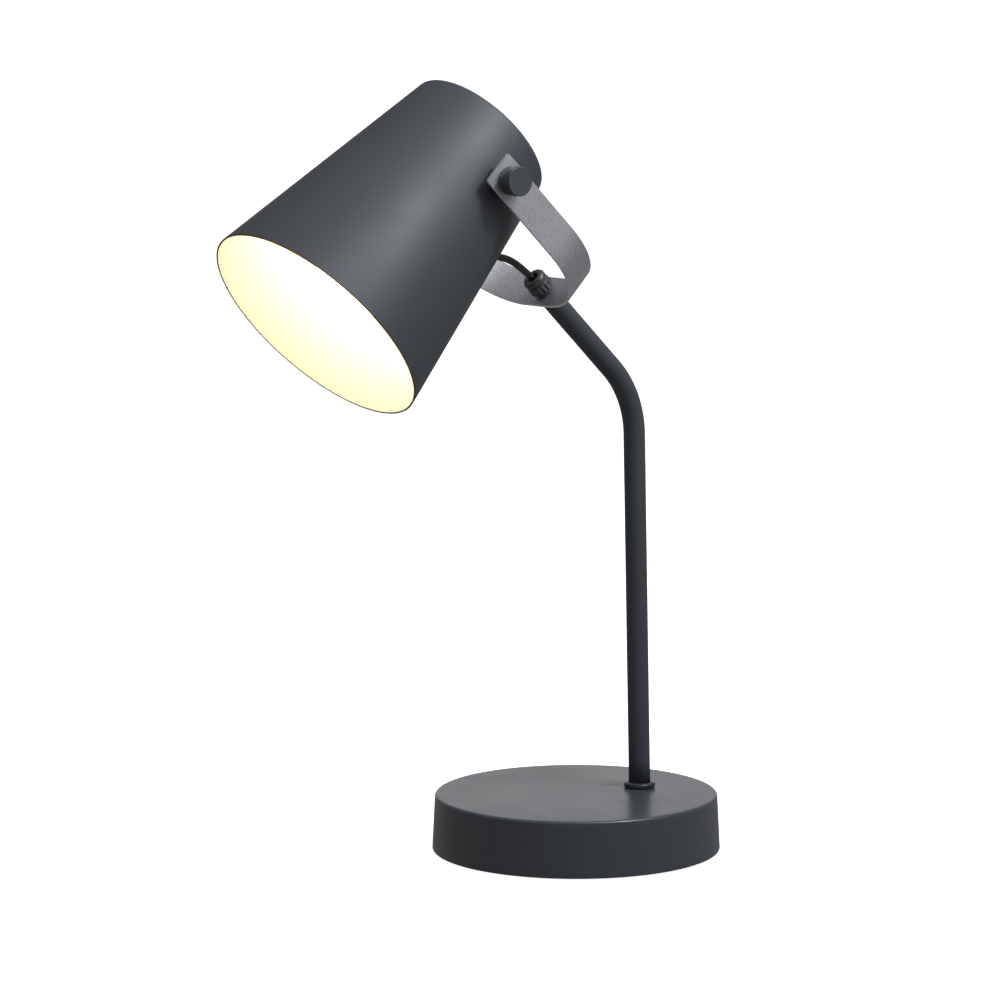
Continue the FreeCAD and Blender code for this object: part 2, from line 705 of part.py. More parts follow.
def holder_nut():
    """Nut inside the lampholder's dome."""
    low = STAR_Z + DOME_TOP_T
    return nut(14.0, HOLDER_BORE_R, low, low + 3.4)


def holder_dome():
    """Moulded rear half of the lampholder, with a side port for the lead and a threaded neck."""
    outer = rounded(rod(DOME_R, STAR_Z, NECK_Z), DOME_EDGE_R, (STAR_Z, DOME_R))
    outer = outer.fuse(rod(NECK_R, NECK_Z, DOME_END_Z))
    hollow = rod(HOLLOW_R, STAR_Z + DOME_TOP_T, DOME_END_Z)
    dome = outer.cut(hollow).cut(rod(HOLDER_BORE_R, STAR_Z, STAR_Z + DOME_TOP_T))
    port = rod_ahead(LEAD_PORT_R, -DOME_R - 1, -DOME_R + 6, 0, LEAD_PORT_Z)
    return dome.cut(port).removeSplitter()


def holder_core():
    """Moulded insert that carries the screw shell and the centre contact."""
    core = rod(HOLLOW_R - FIT, CORE_LOW_Z, CORE_HIGH_Z)
    for y in CORE_HOLE_YS:
        core = core.cut(rod(1.7, CORE_LOW_Z, CORE_HIGH_Z, 0, y))
    return core


def holder_screw_shell():
    """Rolled brass shell that the bulb screws into."""
    outer = SHELL_R + SHELL_T
    shell = ring(outer, SHELL_R, CORE_HIGH_Z, SHELL_END_Z)
    for i in range(THREAD_TURNS):
        z = 23.5 + THREAD_PITCH * i
        shell = shell.fuse(ring(outer + 0.4, outer, z, z + 1.2))
    return shell.removeSplitter()


def holder_contact():
    """Brass tongue that presses on the bulb's centre contact."""
    side = -CONTACT_W / 2
    x = -3.0
    low = Part.makeBox(12.0, CONTACT_W, CONTACT_T, Vector(x, side, CORE_HIGH_Z))
    riser = Part.makeBox(CONTACT_T, CONTACT_W, BULB_CONTACT_Z - CORE_HIGH_Z, Vector(x, side, CORE_HIGH_Z))
    high = Part.makeBox(6.5, CONTACT_W, CONTACT_T, Vector(x, side, BULB_CONTACT_Z - CONTACT_T))
    return low.fuse(riser).fuse(high).removeSplitter()


def holder_skirt():
    """Moulded front half of the lampholder, screwed on the dome's neck."""
    thread_r = NECK_R + FIT
    skirt = turned([(thread_r, NECK_Z), (SKIRT_R, NECK_Z), (SKIRT_R, SKIRT_END_Z),
                    (SKIRT_BORE_R, SKIRT_END_Z), (SKIRT_BORE_R, DOME_END_Z), (thread_r, DOME_END_Z)])
    skirt = rounded(skirt, 1.2, (NECK_Z, SKIRT_R), (SKIRT_END_Z, SKIRT_R))
    for z in SKIRT_GROOVE_ZS:
        skirt = skirt.cut(ring(SKIRT_R + 1, SKIRT_R - 0.5, z, z + 1.4))
    return skirt


# ---- bulb, built in the shade's frame
def bulb_profile(inset):
    """Half the glass's outline in the XZ plane: a neck, a cone and a ball that the cone touches."""
    centre_z = BULB_TIP_Z - BULB_R
    radius = BULB_R - inset
    neck_r = BULB_NECK_R - inset
    low_z = CAP_HIGH_Z + inset
    neck_z = CAP_HIGH_Z + BULB_NECK_LENGTH
    drop = centre_z - neck_z
    angle = math.atan2(neck_r, drop) + math.acos(radius / math.hypot(neck_r, drop))
    joint = Vector(radius * math.sin(angle), 0, centre_z - radius * math.cos(angle))
    side = Vector(radius, 0, centre_z)
    tip = Vector(0, 0, centre_z + radius)
    edges = [Part.LineSegment(Vector(0, 0, low_z), Vector(neck_r, 0, low_z)).toShape(),
             Part.LineSegment(Vector(neck_r, 0, low_z), Vector(neck_r, 0, neck_z)).toShape(),
             Part.LineSegment(Vector(neck_r, 0, neck_z), joint).toShape(),
             Part.Arc(joint, side, tip).toShape(),
             Part.LineSegment(tip, Vector(0, 0, low_z)).toShape()]
    return Part.Face(Part.Wire(edges))


def bulb_globe():
    """Frosted glass envelope, hollow."""
    outside = bulb_profile(0).revolve(ORIGIN, UP, FULL_TURN)
    inside = bulb_profile(GLASS_T).revolve(ORIGIN, UP, FULL_TURN)
    return outside.cut(inside)


def cap_ridge(z):
    """One turn of the bulb cap's thread, as a ridge."""
    root = CAP_R - 0.6
    return turned([(5.0, z - 1.4), (root, z - 1.4), (CAP_R + 0.4, z), (root, z + 1.4), (5.0, z + 1.4)])


def bulb_cap():
    """Screw cap of the bulb, its thread as ridges, with a collar round the glass."""
    root = CAP_R - 0.6
    cap = turned([(0, CAP_LOW_Z), (root - 0.9, CAP_LOW_Z), (root, CAP_LOW_Z + 1.5), (root, CAP_HIGH_Z),
                  (0, CAP_HIGH_Z)])
    for i in range(THREAD_TURNS):
        cap = cap.fuse(cap_ridge(CAP_LOW_Z + 2.5 + THREAD_PITCH * i))
    collar_r = BULB_NECK_R + FIT
    collar = ring(collar_r + 0.4, collar_r, CAP_HIGH_Z, CAP_HIGH_Z + 4.0)
    flange = ring(collar_r + 0.4, 5.0, CAP_HIGH_Z - 0.6, CAP_HIGH_Z)
    return cap.fuse(flange).fuse(collar).removeSplitter()


def bulb_insulator():
    """Glass bead between the bulb's cap and its centre contact."""
    return turned([(0, INSULATOR_Z), (BULB_CONTACT_R + 1, INSULATOR_Z), (10.4, CAP_LOW_Z), (0, CAP_LOW_Z)])


def bulb_contact():
    """Soldered centre contact of the bulb."""
    return rounded(rod(BULB_CONTACT_R, BULB_CONTACT_Z, INSULATOR_Z), 0.9, (BULB_CONTACT_Z, BULB_CONTACT_R))


def lead_in_shade():
    """Lead from the grommet along the shade's back into the lampholder's side port."""
    route = [shade_point(LEAD_END_X, GROMMET_FROM_BACK), shade_point(-37.5, GROMMET_FROM_BACK),
             shade_point(-31.0, 29.5), shade_point(-28.5, 19.5), shade_point(-25.5, 12.0),
             shade_point(-18.0, LEAD_PORT_Z), shade_point(-10.8, LEAD_PORT_Z)]
    return tube_along("lead in shade", route, LEAD_R)


NODES = {
    "base_cover": base_cover(),
    "base_weight": base_weight(),
    "bottom_plate": bottom_plate(),
    "base_pad": base_pad(),
    "plate_screws": plate_screws(),
    "cord_inlet_bush": cord_inlet_bush(),
    "terminal_block": terminal_block(),
    "terminal_barrels": terminal_barrels(),
    "terminal_screws": terminal_screws(),
    "stem_nipple": stem_nipple(),
    "stem_washer": stem_washer(),
    "stem_nut": stem_nut(),
    "stem_collar": stem_collar(),
    "stem_tube": stem_tube(),
    "head_ferrule": head_ferrule(),
    "lead_in_stem": lead_in_stem(),
    "bracket": bracket(),
    "cord_grip_body": cord_grip_body(),
    "cord_grip_cap": cord_grip_cap(),
    "lead_at_head": lead_at_head(),
    "fibre_washers": in_shade(both_sides(fibre_washer())),
    "spring_washers": in_shade(both_sides(spring_washer())),
    "pivot_spacers": in_shade(both_sides(pivot_spacer())),
    "pivot_pads": in_shade(both_sides(pivot_pad())),
    "pivot_nuts": in_shade(both_sides(pivot_nut())),
    "knob_right": in_shade(clamp_knob()),
    "stud_right": in_shade(clamp_stud()),
    "knob_left": in_shade(mirrored(clamp_knob())),
    "stud_left": in_shade(mirrored(clamp_stud())),
    "shade_shell": in_shade(shade_shell()),
    "lead_grommet": in_shade(lead_grommet()),
    "lead_in_shade": lead_in_shade(),
    "holder_cap_nut": in_shade(holder_cap_nut()),
    "holder_nipple": in_shade(holder_nipple()),
    "holder_star_washer": in_shade(holder_star_washer()),
    "holder_nut": in_shade(holder_nut()),
    "holder_dome": in_shade(holder_dome()),
    "holder_core": in_shade(holder_core()),
    "holder_screw_shell": in_shade(holder_screw_shell()),
    "holder_contact": in_shade(holder_contact()),
    "holder_skirt": in_shade(holder_skirt()),
    "bulb_globe": in_shade(bulb_globe()),
    "bulb_cap": in_shade(bulb_cap()),
    "bulb_insulator": in_shade(bulb_insulator()),
    "bulb_contact": in_shade(bulb_contact()),
}


def main():
    """Writes one STEP file for each node."""
    os.makedirs("parts", exist_ok=True)
    for name, shape in NODES.items():
        print(f"{name}: solids {len(shape.Solids)}, valid {shape.isValid()}, volume {shape.Volume:.0f}")
        shape.exportStep(f"parts/{name}.step")
    print(f"pivot {PIVOT}, shade back {SHADE_BACK}, strap middle {STRAP_MIDDLE}")


main()
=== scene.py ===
import json
import math

import bmesh
import bpy
from mathutils import Matrix, Vector


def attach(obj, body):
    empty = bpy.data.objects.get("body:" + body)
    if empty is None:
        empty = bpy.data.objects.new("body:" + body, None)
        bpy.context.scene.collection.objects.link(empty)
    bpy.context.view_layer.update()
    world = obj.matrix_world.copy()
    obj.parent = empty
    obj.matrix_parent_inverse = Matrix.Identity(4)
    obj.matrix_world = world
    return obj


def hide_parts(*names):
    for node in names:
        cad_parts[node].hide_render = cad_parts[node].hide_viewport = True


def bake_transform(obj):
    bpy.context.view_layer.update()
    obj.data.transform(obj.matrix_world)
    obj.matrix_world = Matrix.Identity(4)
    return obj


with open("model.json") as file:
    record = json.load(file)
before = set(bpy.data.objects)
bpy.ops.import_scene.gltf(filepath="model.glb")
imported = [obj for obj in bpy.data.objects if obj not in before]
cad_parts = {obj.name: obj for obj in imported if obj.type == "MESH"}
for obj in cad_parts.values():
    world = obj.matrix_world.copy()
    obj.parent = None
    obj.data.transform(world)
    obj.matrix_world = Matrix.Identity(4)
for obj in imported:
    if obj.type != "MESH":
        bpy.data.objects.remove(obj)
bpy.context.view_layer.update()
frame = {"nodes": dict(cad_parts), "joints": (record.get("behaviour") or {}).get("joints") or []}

# Desk lamp, in metres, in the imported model's frame: the origin is the centre of the base's underside, +Z is
# up and the shade points towards -X.
MM = 0.001

# How far a drill reaches past the wall that it cuts.
OVERCUT = 5.0 * MM

# ---- sizes: base
BASE_FOOT_R = 80.0 * MM
BASE_TOP_R = 78.4 * MM
BASE_TOP_Z = 31.6 * MM
BASE_EDGE_R = 1.6 * MM
BASE_FOOT_Z = 0.6 * MM
COVER_WALL = 1.2 * MM
FOOT_EDGE_R = 0.7 * MM
FOOT_INNER_R = 0.5 * MM
TOP_INNER_R = 1.0 * MM
# The top's dish, dent and ripple apply down to this depth. A ripple is in radians per metre, with a shift.
TOP_SKIN = 0.2 * MM
DISH_R = 15.0 * MM
DISH_DEPTH = 0.22 * MM
DENT_AWAY = 11.0 * MM
DENT_R = 5.0 * MM
DENT_DEPTH = 0.25 * MM
RIPPLE_HEIGHT = 0.05 * MM
RIPPLE_FADE = 10.0 * MM
RIPPLE_X = (61.0, 1.3)
RIPPLE_Y = (53.0, 0.4)
INLET_R = 5.5 * MM
INLET_Z = 12.0 * MM
STEM_HOLE_R = 5.0 * MM

# ---- sizes: stem
STEM_X = 37.2 * MM
STEM_Y = -10.3 * MM
STEM_LEAN = math.radians(1.16)
TUBE_R = 6.0 * MM
STEM_CORNER_Z = 252.7 * MM
STEM_BEND_R = 54.0 * MM
STEM_INCLINE = math.radians(45.86)
LOW_RUN_STEPS = 12
BEND_STEPS = 32
HIGH_RUN_STEPS = 8
COLLAR_R = 8.8 * MM
COLLAR_H = 3.2 * MM

# ---- sizes: bracket
STRAP_T = 1.5 * MM
STRAP_W = 19.5 * MM
STRAP_INSIDE = 54.3 * MM
STRAP_CORNER_R = 44.9 * MM
PIVOT_HEIGHT = 93.9 * MM
TAB_PAST_PIVOT = 10.7 * MM
TAB_CORNER_R = 2.0 * MM
STRAP_TOP = PIVOT_HEIGHT + TAB_PAST_PIVOT
STRAP_BEVEL = 0.22 * MM
STUD_R = 2.6 * MM
TAB_STEPS = 8
ARM_STEPS = 6
CORNER_STEPS = 32
# A face of the strap whose normal leans this far along X is one of its cut edges, which get a lighter colour
# as a painted highlight.
EDGE_HIGHLIGHT_FACING = 0.35

# ---- sizes: cord grip, along the stem's slope from the strap's middle
GRIP_BORE_R = 2.4 * MM
GRIP_SHANK_R = 3.9 * MM
GRIP_R = 6.2 * MM
GRIP_FOOT = -10.0 * MM
GRIP_TOP = 9.6 * MM
RIB_LOW = 3.5 * MM
RIB_HIGH = 8.8 * MM
RIB_HEIGHT = 0.5 * MM
RIB_ROUNDNESS = 0.6
RIB_MIN_R = 6.0 * MM
GRIP_RIBS = 16
CAP_BORE_R = 3.0 * MM
CAP_R = 6.5 * MM
CAP_TOP = 13.0 * MM

# ---- sizes: knobs and washers
KNOB_R = 7.75 * MM
KNOB_FACE_Y = 65.1 * MM
KNOB_BACK_Y = 60.15 * MM
KNOB_BACK_EDGE_R = 0.4 * MM
KNOB_FACE_EDGE_R = 0.45 * MM
KNOB_RIM = 1.2 * MM
KNOB_STEP = 0.4 * MM
KNOB_DISH = 0.06 * MM
KNOB_BORE = 2.5 * MM
FIBRE_R = 7.5 * MM
FIBRE_T = 1.4 * MM

# ---- sizes: shade and lead
SHADE_BACK_R = 41.6 * MM
SHADE_MOUTH_R = 65.1 * MM
SHADE_L = 143.2 * MM
SHADE_WALL = 1.0 * MM
SHADE_EDGE_R = 2.5 * MM
SHADE_LIP_R = 0.3 * MM
RIM_WIDTH = 0.8 * MM
# How far the brown band on the shade's lip, painted warm light from the bulb, reaches inside and past the
# lip's outer run.
LIT_RIM_INSIDE = 0.35 * MM
LIT_RIM_MARGIN = 0.05 * MM
SHADE_TAPER = (SHADE_MOUTH_R - SHADE_BACK_R) / SHADE_L
SHADE_DROP = math.radians(41.17)
PIVOT_FROM_BACK = 30.6 * MM
PIVOT_HOLE_R = 3.0 * MM
GROMMET_FROM_BACK = 35.5 * MM
GROMMET_HOLE_R = 4.4 * MM
NIPPLE_R = 5.0 * MM
LEAD_R = 2.0 * MM

# ---- sizes: lampholder and bulb, along the beam from the shade's back
NUT_R = 7.5 * MM
NUT_SIDE = 4.5 * MM
NUT_H = 6.5 * MM
NUT_BORE_DEPTH = 5.0 * MM
SKIRT_R = 19.0 * MM
SKIRT_INNER_R = 15.6 * MM
SKIRT_LOW = 13.0 * MM
SKIRT_HIGH = 50.0 * MM
SKIRT_SEAT_R = 16.0 * MM
SKIRT_SEAT_Z = 19.0 * MM
GROOVE_LOW = 20.0 * MM
GROOVE_HIGH = 21.4 * MM
GROOVE_DEPTH = 0.5 * MM
GROOVE_SLOPE = 0.3 * MM
SKIRT_RIBS = 36
SKIRT_RIB_DEPTH = 0.45 * MM
SKIRT_RIB_LOW = 27.0 * MM
SKIRT_RIB_HIGH = 46.0 * MM
SKIRT_RIB_MIN_R = 18.9 * MM
BULB_R = 30.0 * MM
BULB_TIP_Z = 123.5 * MM
NECK_R = 13.6 * MM
NECK_LOW = 45.0 * MM
NECK_HIGH = 52.0 * MM
NECK_FILLET_R = 9.0 * MM
GLOBE_STEPS = 36
SCREW_TIP_Z = 24.0 * MM
SCREW_TIP_R = 11.2 * MM
SCREW_LOW = 25.0 * MM
SCREW_HIGH = 41.0 * MM
SCREW_ROOT_R = 12.1 * MM
SCREW_RISE = 0.95 * MM
SCREW_TURNS = 4
SCREW_STEPS = 120
CAP_FLARE_R = 14.0 * MM

# ---- look
ANTHRACITE = (0.048, 0.054, 0.064)
PAINT_CONTRAST = 0.10
PAINT_GRAIN = 2600
PAINT_DEPTH = 0.006 * MM
BROAD_SCALE = 28.0
BROAD_SHARE = 0.35
GLOW = 5.0
GLOW_COLOUR = (1.0, 0.95, 0.58)

# ---- floor and light
KEY_AIM = (-0.06, 0, 0.3)
KEY_COLOUR = (0.93, 0.97, 1.0)
WORLD_SEEN = 1.1
WORLD_LIGHTING = 0.21
FLOOR_GLOW = 0.95
FLOOR_HALF_SIZE = 40.0
FLOOR_BELOW = 0.2 * MM

# ---- local frames
PIVOT = Vector(next(j["pos_m"] for j in frame["joints"] if j["name"] == "shade_tilt"))
STEM_TURN = Matrix.Rotation(-STEM_INCLINE, 4, "Y")
SHADE_TURN = Matrix.Rotation(-(math.pi / 2 + SHADE_DROP), 4, "Y")
SLOPE = STEM_TURN @ Vector((0, 0, 1))
BEAM = SHADE_TURN @ Vector((0, 0, 1))
STRAP_MIDDLE = PIVOT - SLOPE * PIVOT_HEIGHT
STEM_FOOT = Vector((STEM_X, STEM_Y, BASE_TOP_Z))
STEM_RISE = STEM_CORNER_Z - BASE_TOP_Z
STEM_CORNER = STEM_FOOT + Vector((-STEM_RISE * math.tan(STEM_LEAN), 0, STEM_RISE))
STEM_FRAME = Matrix.Translation(STRAP_MIDDLE) @ STEM_TURN
SHADE_FRAME = Matrix.Translation(PIVOT - BEAM * PIVOT_FROM_BACK) @ SHADE_TURN
RIGHT_FRAME = Matrix.Translation(PIVOT) @ Matrix.Rotation(-math.pi / 2, 4, "X")
LEFT_FRAME = Matrix.Translation(PIVOT) @ Matrix.Rotation(math.pi / 2, 4, "X")
WORLD = Matrix.Identity(4)

# ---- camera
CAMERA_PLACE = (-1.38343, -1.74467, 0.49746)
CAMERA_AZIMUTH = math.radians(-37.3415)
CAMERA_PITCH = math.radians(7.7225)
CAMERA_ROLL = math.radians(-0.2106)
CAMERA_LENS = 146.99
SENSOR = 36.0


def make_camera():
    """The camera, with its own axes built from azimuth, pitch and roll."""
    a, p, r = CAMERA_AZIMUTH, CAMERA_PITCH, CAMERA_ROLL
    ahead = Vector((-math.sin(a) * math.cos(p), math.cos(a) * math.cos(p), -math.sin(p)))
    level = Vector((math.cos(a), math.sin(a), 0))
    above = level.cross(ahead)
    right = level * math.cos(r) + above * math.sin(r)
    up = above * math.cos(r) - level * math.sin(r)
    data = bpy.data.cameras.new("camera")
    data.sensor_width = SENSOR
    data.lens = CAMERA_LENS
    data.clip_start = 0.1
    data.clip_end = 50.0
    camera = bpy.data.objects.new("camera", data)
    bpy.context.scene.collection.objects.link(camera)
    turn = Matrix((right, up, -ahead)).transposed().to_4x4()
    camera.matrix_world = Matrix.Translation(CAMERA_PLACE) @ turn
    bpy.context.scene.camera = camera


# ---- mesh building
def add_object(name, mesh):
    """A new object of a mesh, linked to the scene."""
    made = bpy.data.objects.new(name, mesh)
    bpy.context.scene.collection.objects.link(made)
    return made


def soften(corners, steps=5):
    """Points of a profile whose (radius, height, rounding) corners are replaced by arcs."""
    points = []
    for i, (x, z, rounding) in enumerate(corners):
        here = Vector((x, z))
        if rounding <= 0 or i in (0, len(corners) - 1):
            points.append(here)
            continue
        before = Vector(corners[i - 1][:2]) - here
        after = Vector(corners[i + 1][:2]) - here
        half = before.angle(after) / 2
        reach = rounding / math.tan(half)
        first = here + before.normalized() * reach
        last = here + after.normalized() * reach
        centre = here + (before.normalized() + after.normalized()).normalized() * rounding / math.sin(half)
        start = first - centre
        sweep = start.angle_signed(last - centre)
        for k in range(steps + 1):
            angle = -sweep * k / steps
            turn = Matrix.Rotation(angle, 2)
            points.append(centre + turn @ start)
    return points


def refine(points, longest):
    """The same polyline with every run divided to at most a longest length."""
    fine = [points[0]]
    for a, b in zip(points, points[1:]):
        count = max(1, math.ceil((b - a).length / longest))
        fine += [a.lerp(b, k / count) for k in range(1, count + 1)]
    return fine


def lathe(name, profile, place, segments=128, closed=False, slots=None, shape=None):
    """A smooth mesh turned from (radius, height) points about a frame's Z axis.

    closed joins the last point to the first. slots gives each run's material slot. shape, if given, is a
    function of (radius, height, angle) that returns a changed radius and height.
    """
    mesh = bpy.data.meshes.new(name)
    work = bmesh.new()
    rings = []
    for point in profile:
        if point[0] < 1e-7:
            rings.append([work.verts.new((0, 0, point[1]))])
            continue
        row = []
        for i in range(segments):
            angle = 2 * math.pi * i / segments
            radius, height = shape(point[0], point[1], angle) if shape else (point[0], point[1])
            row.append(work.verts.new((radius * math.cos(angle), radius * math.sin(angle), height)))
        rings.append(row)
    pairs = list(zip(rings, rings[1:]))
    if closed:
        pairs.append((rings[-1], rings[0]))
    for index, (low, high) in enumerate(pairs):
        for i in range(max(len(low), len(high))):
            j = (i + 1) % segments
            if len(low) == 1 and len(high) == 1:
                continue
            if len(low) == 1:
                face = work.faces.new((low[0], high[j], high[i]))
            elif len(high) == 1:
                face = work.faces.new((low[i], low[j], high[0]))
            else:
                face = work.faces.new((low[i], low[j], high[j], high[i]))
            face.smooth = True
            face.material_index = slots[index] if slots else 0
    bmesh.ops.recalc_face_normals(work, faces=work.faces)
    work.to_mesh(mesh)
    work.free()
    mesh.transform(place)
    return add_object(name, mesh)


def tube_mesh(name, path, radius, sides=48):
    """A round closed rod along a line of points."""
    mesh = bpy.data.meshes.new(name)
    work = bmesh.new()
    rings = []
    tangent = (path[1] - path[0]).normalized()
    side = tangent.orthogonal().normalized()
    for i, point in enumerate(path):
        ahead = (path[min(i + 1, len(path) - 1)] - path[max(i - 1, 0)]).normalized()
        side = (side - ahead * side.dot(ahead)).normalized()
        other = ahead.cross(side)
        row = []
        for k in range(sides):
            angle = 2 * math.pi * k / sides
            row.append(work.verts.new(point + (side * math.cos(angle) + other * math.sin(angle)) * radius))
        rings.append(row)
    for low, high in zip(rings, rings[1:]):
        for k in range(sides):
            j = (k + 1) % sides
            work.faces.new((low[k], low[j], high[j], high[k])).smooth = True
    work.faces.new(rings[0])
    work.faces.new(rings[-1])
    bmesh.ops.recalc_face_normals(work, faces=work.faces)
    work.to_mesh(mesh)
    work.free()
    return add_object(name, mesh)


def smooth_path(route, spacing=0.4 * MM):
    """Closely spaced points on the NURBS line through a route's control points."""
    curve = bpy.data.curves.new("route", "CURVE")
    curve.dimensions = "3D"
    spline = curve.splines.new("NURBS")
    spline.points.add(len(route) - 1)
    for target, point in zip(spline.points, route):
        target.co = (*point, 1.0)
    spline.order_u = 3
    spline.use_endpoint_u = True
    length = sum((b - a).length for a, b in zip(route, route[1:]))
    spline.resolution_u = max(4, math.ceil(length / spacing / len(route)))
    holder = bpy.data.objects.new("route", curve)
    bpy.context.scene.collection.objects.link(holder)
    line = bpy.data.meshes.new_from_object(holder)
    points = [v.co.copy() for v in line.vertices]
    bpy.data.objects.remove(holder)
    bpy.data.meshes.remove(line)
    return points


def modified(piece, kind, **settings):
    """Adds a modifier to a piece."""
    modifier = piece.modifiers.new(kind.lower(), kind)
    for key, value in settings.items():
        setattr(modifier, key, value)


def applied(piece):
    """Turns a piece's modifiers into its mesh."""
    graph = bpy.context.evaluated_depsgraph_get()
    mesh = bpy.data.meshes.new_from_object(piece.evaluated_get(graph))
    piece.modifiers.clear()
    piece.data = mesh


def drill(piece, radius, start, end):
    """Cuts a round hole through a piece, from one point to another."""
    first, last = Vector(start), Vector(end)
    cutter = tube_mesh("cutter", [first, first.lerp(last, 0.5), last], radius)
    modified(piece, "BOOLEAN", object=cutter, operation="DIFFERENCE", solver="EXACT")
    applied(piece)
    bpy.data.objects.remove(cutter)


# ---- materials
def shader(name, **settings):
    """A new node material; settings go on the shader's own sockets. Returns the material and its parts."""
    material = bpy.data.materials.new(name)
    material.use_nodes = True
    nodes, links = material.node_tree.nodes, material.node_tree.links
    bsdf = nodes["Principled BSDF"]
    for key, value in settings.items():
        bsdf.inputs[key.replace("_", " ")].default_value = value
    return material, nodes, links, bsdf


def noise(nodes, links, scale, detail=2.0, roughness=0.5):
    """A noise texture in the lamp's own coordinates, scale per metre."""
    place = nodes.new("ShaderNodeTexCoord")
    texture = nodes.new("ShaderNodeTexNoise")
    texture.inputs["Scale"].default_value = scale
    texture.inputs["Detail"].default_value = detail
    texture.inputs["Roughness"].default_value = roughness
    links.new(place.outputs["Object"], texture.inputs["Vector"])
    return texture.outputs["Fac"]


def ramp(nodes, links, source, stops):
    """A colour ramp over a value."""
    node = nodes.new("ShaderNodeValToRGB")
    band = node.color_ramp
    while len(band.elements) < len(stops):
        band.elements.new(0.5)
    for element, (place, colour) in zip(band.elements, stops):
        element.position = place
        element.color = (*colour, 1.0)
    links.new(source, node.inputs["Fac"])
    return node.outputs["Color"]


def spread(nodes, links, source, low, high, start=0.3, end=0.7):
    """A value's middle range stretched to run from low to high."""
    node = nodes.new("ShaderNodeMapRange")
    node.inputs["From Min"].default_value = start
    node.inputs["From Max"].default_value = end
    node.inputs["To Min"].default_value = low
    node.inputs["To Max"].default_value = high
    links.new(source, node.inputs["Value"])
    return node.outputs["Result"]


def bump(nodes, links, bsdf, source, depth):
    """Bump of a real depth in metres from a value."""
    node = nodes.new("ShaderNodeBump")
    node.inputs["Strength"].default_value = 1.0
    node.inputs["Distance"].default_value = depth
    links.new(source, node.inputs["Height"])
    links.new(node.outputs["Normal"], bsdf.inputs["Normal"])


def tint(colour, factor):
    """A colour made lighter or darker."""
    return tuple(min(1.0, c * factor) for c in colour)


def grained(name, colour, contrast, grain, rough, depth, detail=2.0, **settings):
    """A surface whose colour, roughness and height vary with one fine grain and one broad cloud."""
    material, nodes, links, bsdf = shader(name, **settings)
    fine = noise(nodes, links, grain, detail)
    broad = noise(nodes, links, BROAD_SCALE, 3.0)
    both = nodes.new("ShaderNodeMath")
    both.operation = "MULTIPLY_ADD"
    both.inputs[1].default_value = BROAD_SHARE
    links.new(broad, both.inputs[0])
    links.new(spread(nodes, links, fine, 0.0, 1.0 - BROAD_SHARE), both.inputs[2])
    shades = [(0.0, tint(colour, 1 - contrast)), (0.5, colour), (1.0, tint(colour, 1 + contrast))]
    links.new(ramp(nodes, links, both.outputs[0], shades), bsdf.inputs["Base Color"])
    links.new(spread(nodes, links, broad, rough[0], rough[1]), bsdf.inputs["Roughness"])
    bump(nodes, links, bsdf, fine, depth)
    return material


def painted(name, colour, rough):
    """Smooth paint of a given colour and gloss."""
    return grained(name, colour, PAINT_CONTRAST, PAINT_GRAIN, rough, PAINT_DEPTH)


def bare_metal(name, colour, contrast, grain, rough):
    """Plain metal with a fine grain."""
    return grained(name, colour, contrast, grain, rough, 0.003 * MM, Metallic=1.0)


def cast_metal():
    """Rough cast iron."""
    colour = (0.05, 0.05, 0.05)
    return grained("cast_iron", colour, 0.3, 900, (0.6, 0.8), 0.08 * MM, 4.0, Metallic=0.6)


def strap_coat():
    """Silver-grey powder coat with fine speckles."""
    colour = (0.54, 0.54, 0.567)
    return grained("grey_powder_coat", colour, 0.42, 1500, (0.5, 0.56), 0.045 * MM, 3.0, Metallic=1.0)


def cord_sheath():
    """Black sheath with a clear shine."""
    colour = (0.004, 0.004, 0.0045)
    return grained("black_pvc", colour, 0.15, 1500, (0.2, 0.28), 0.003 * MM, Coat_Weight=1.0)


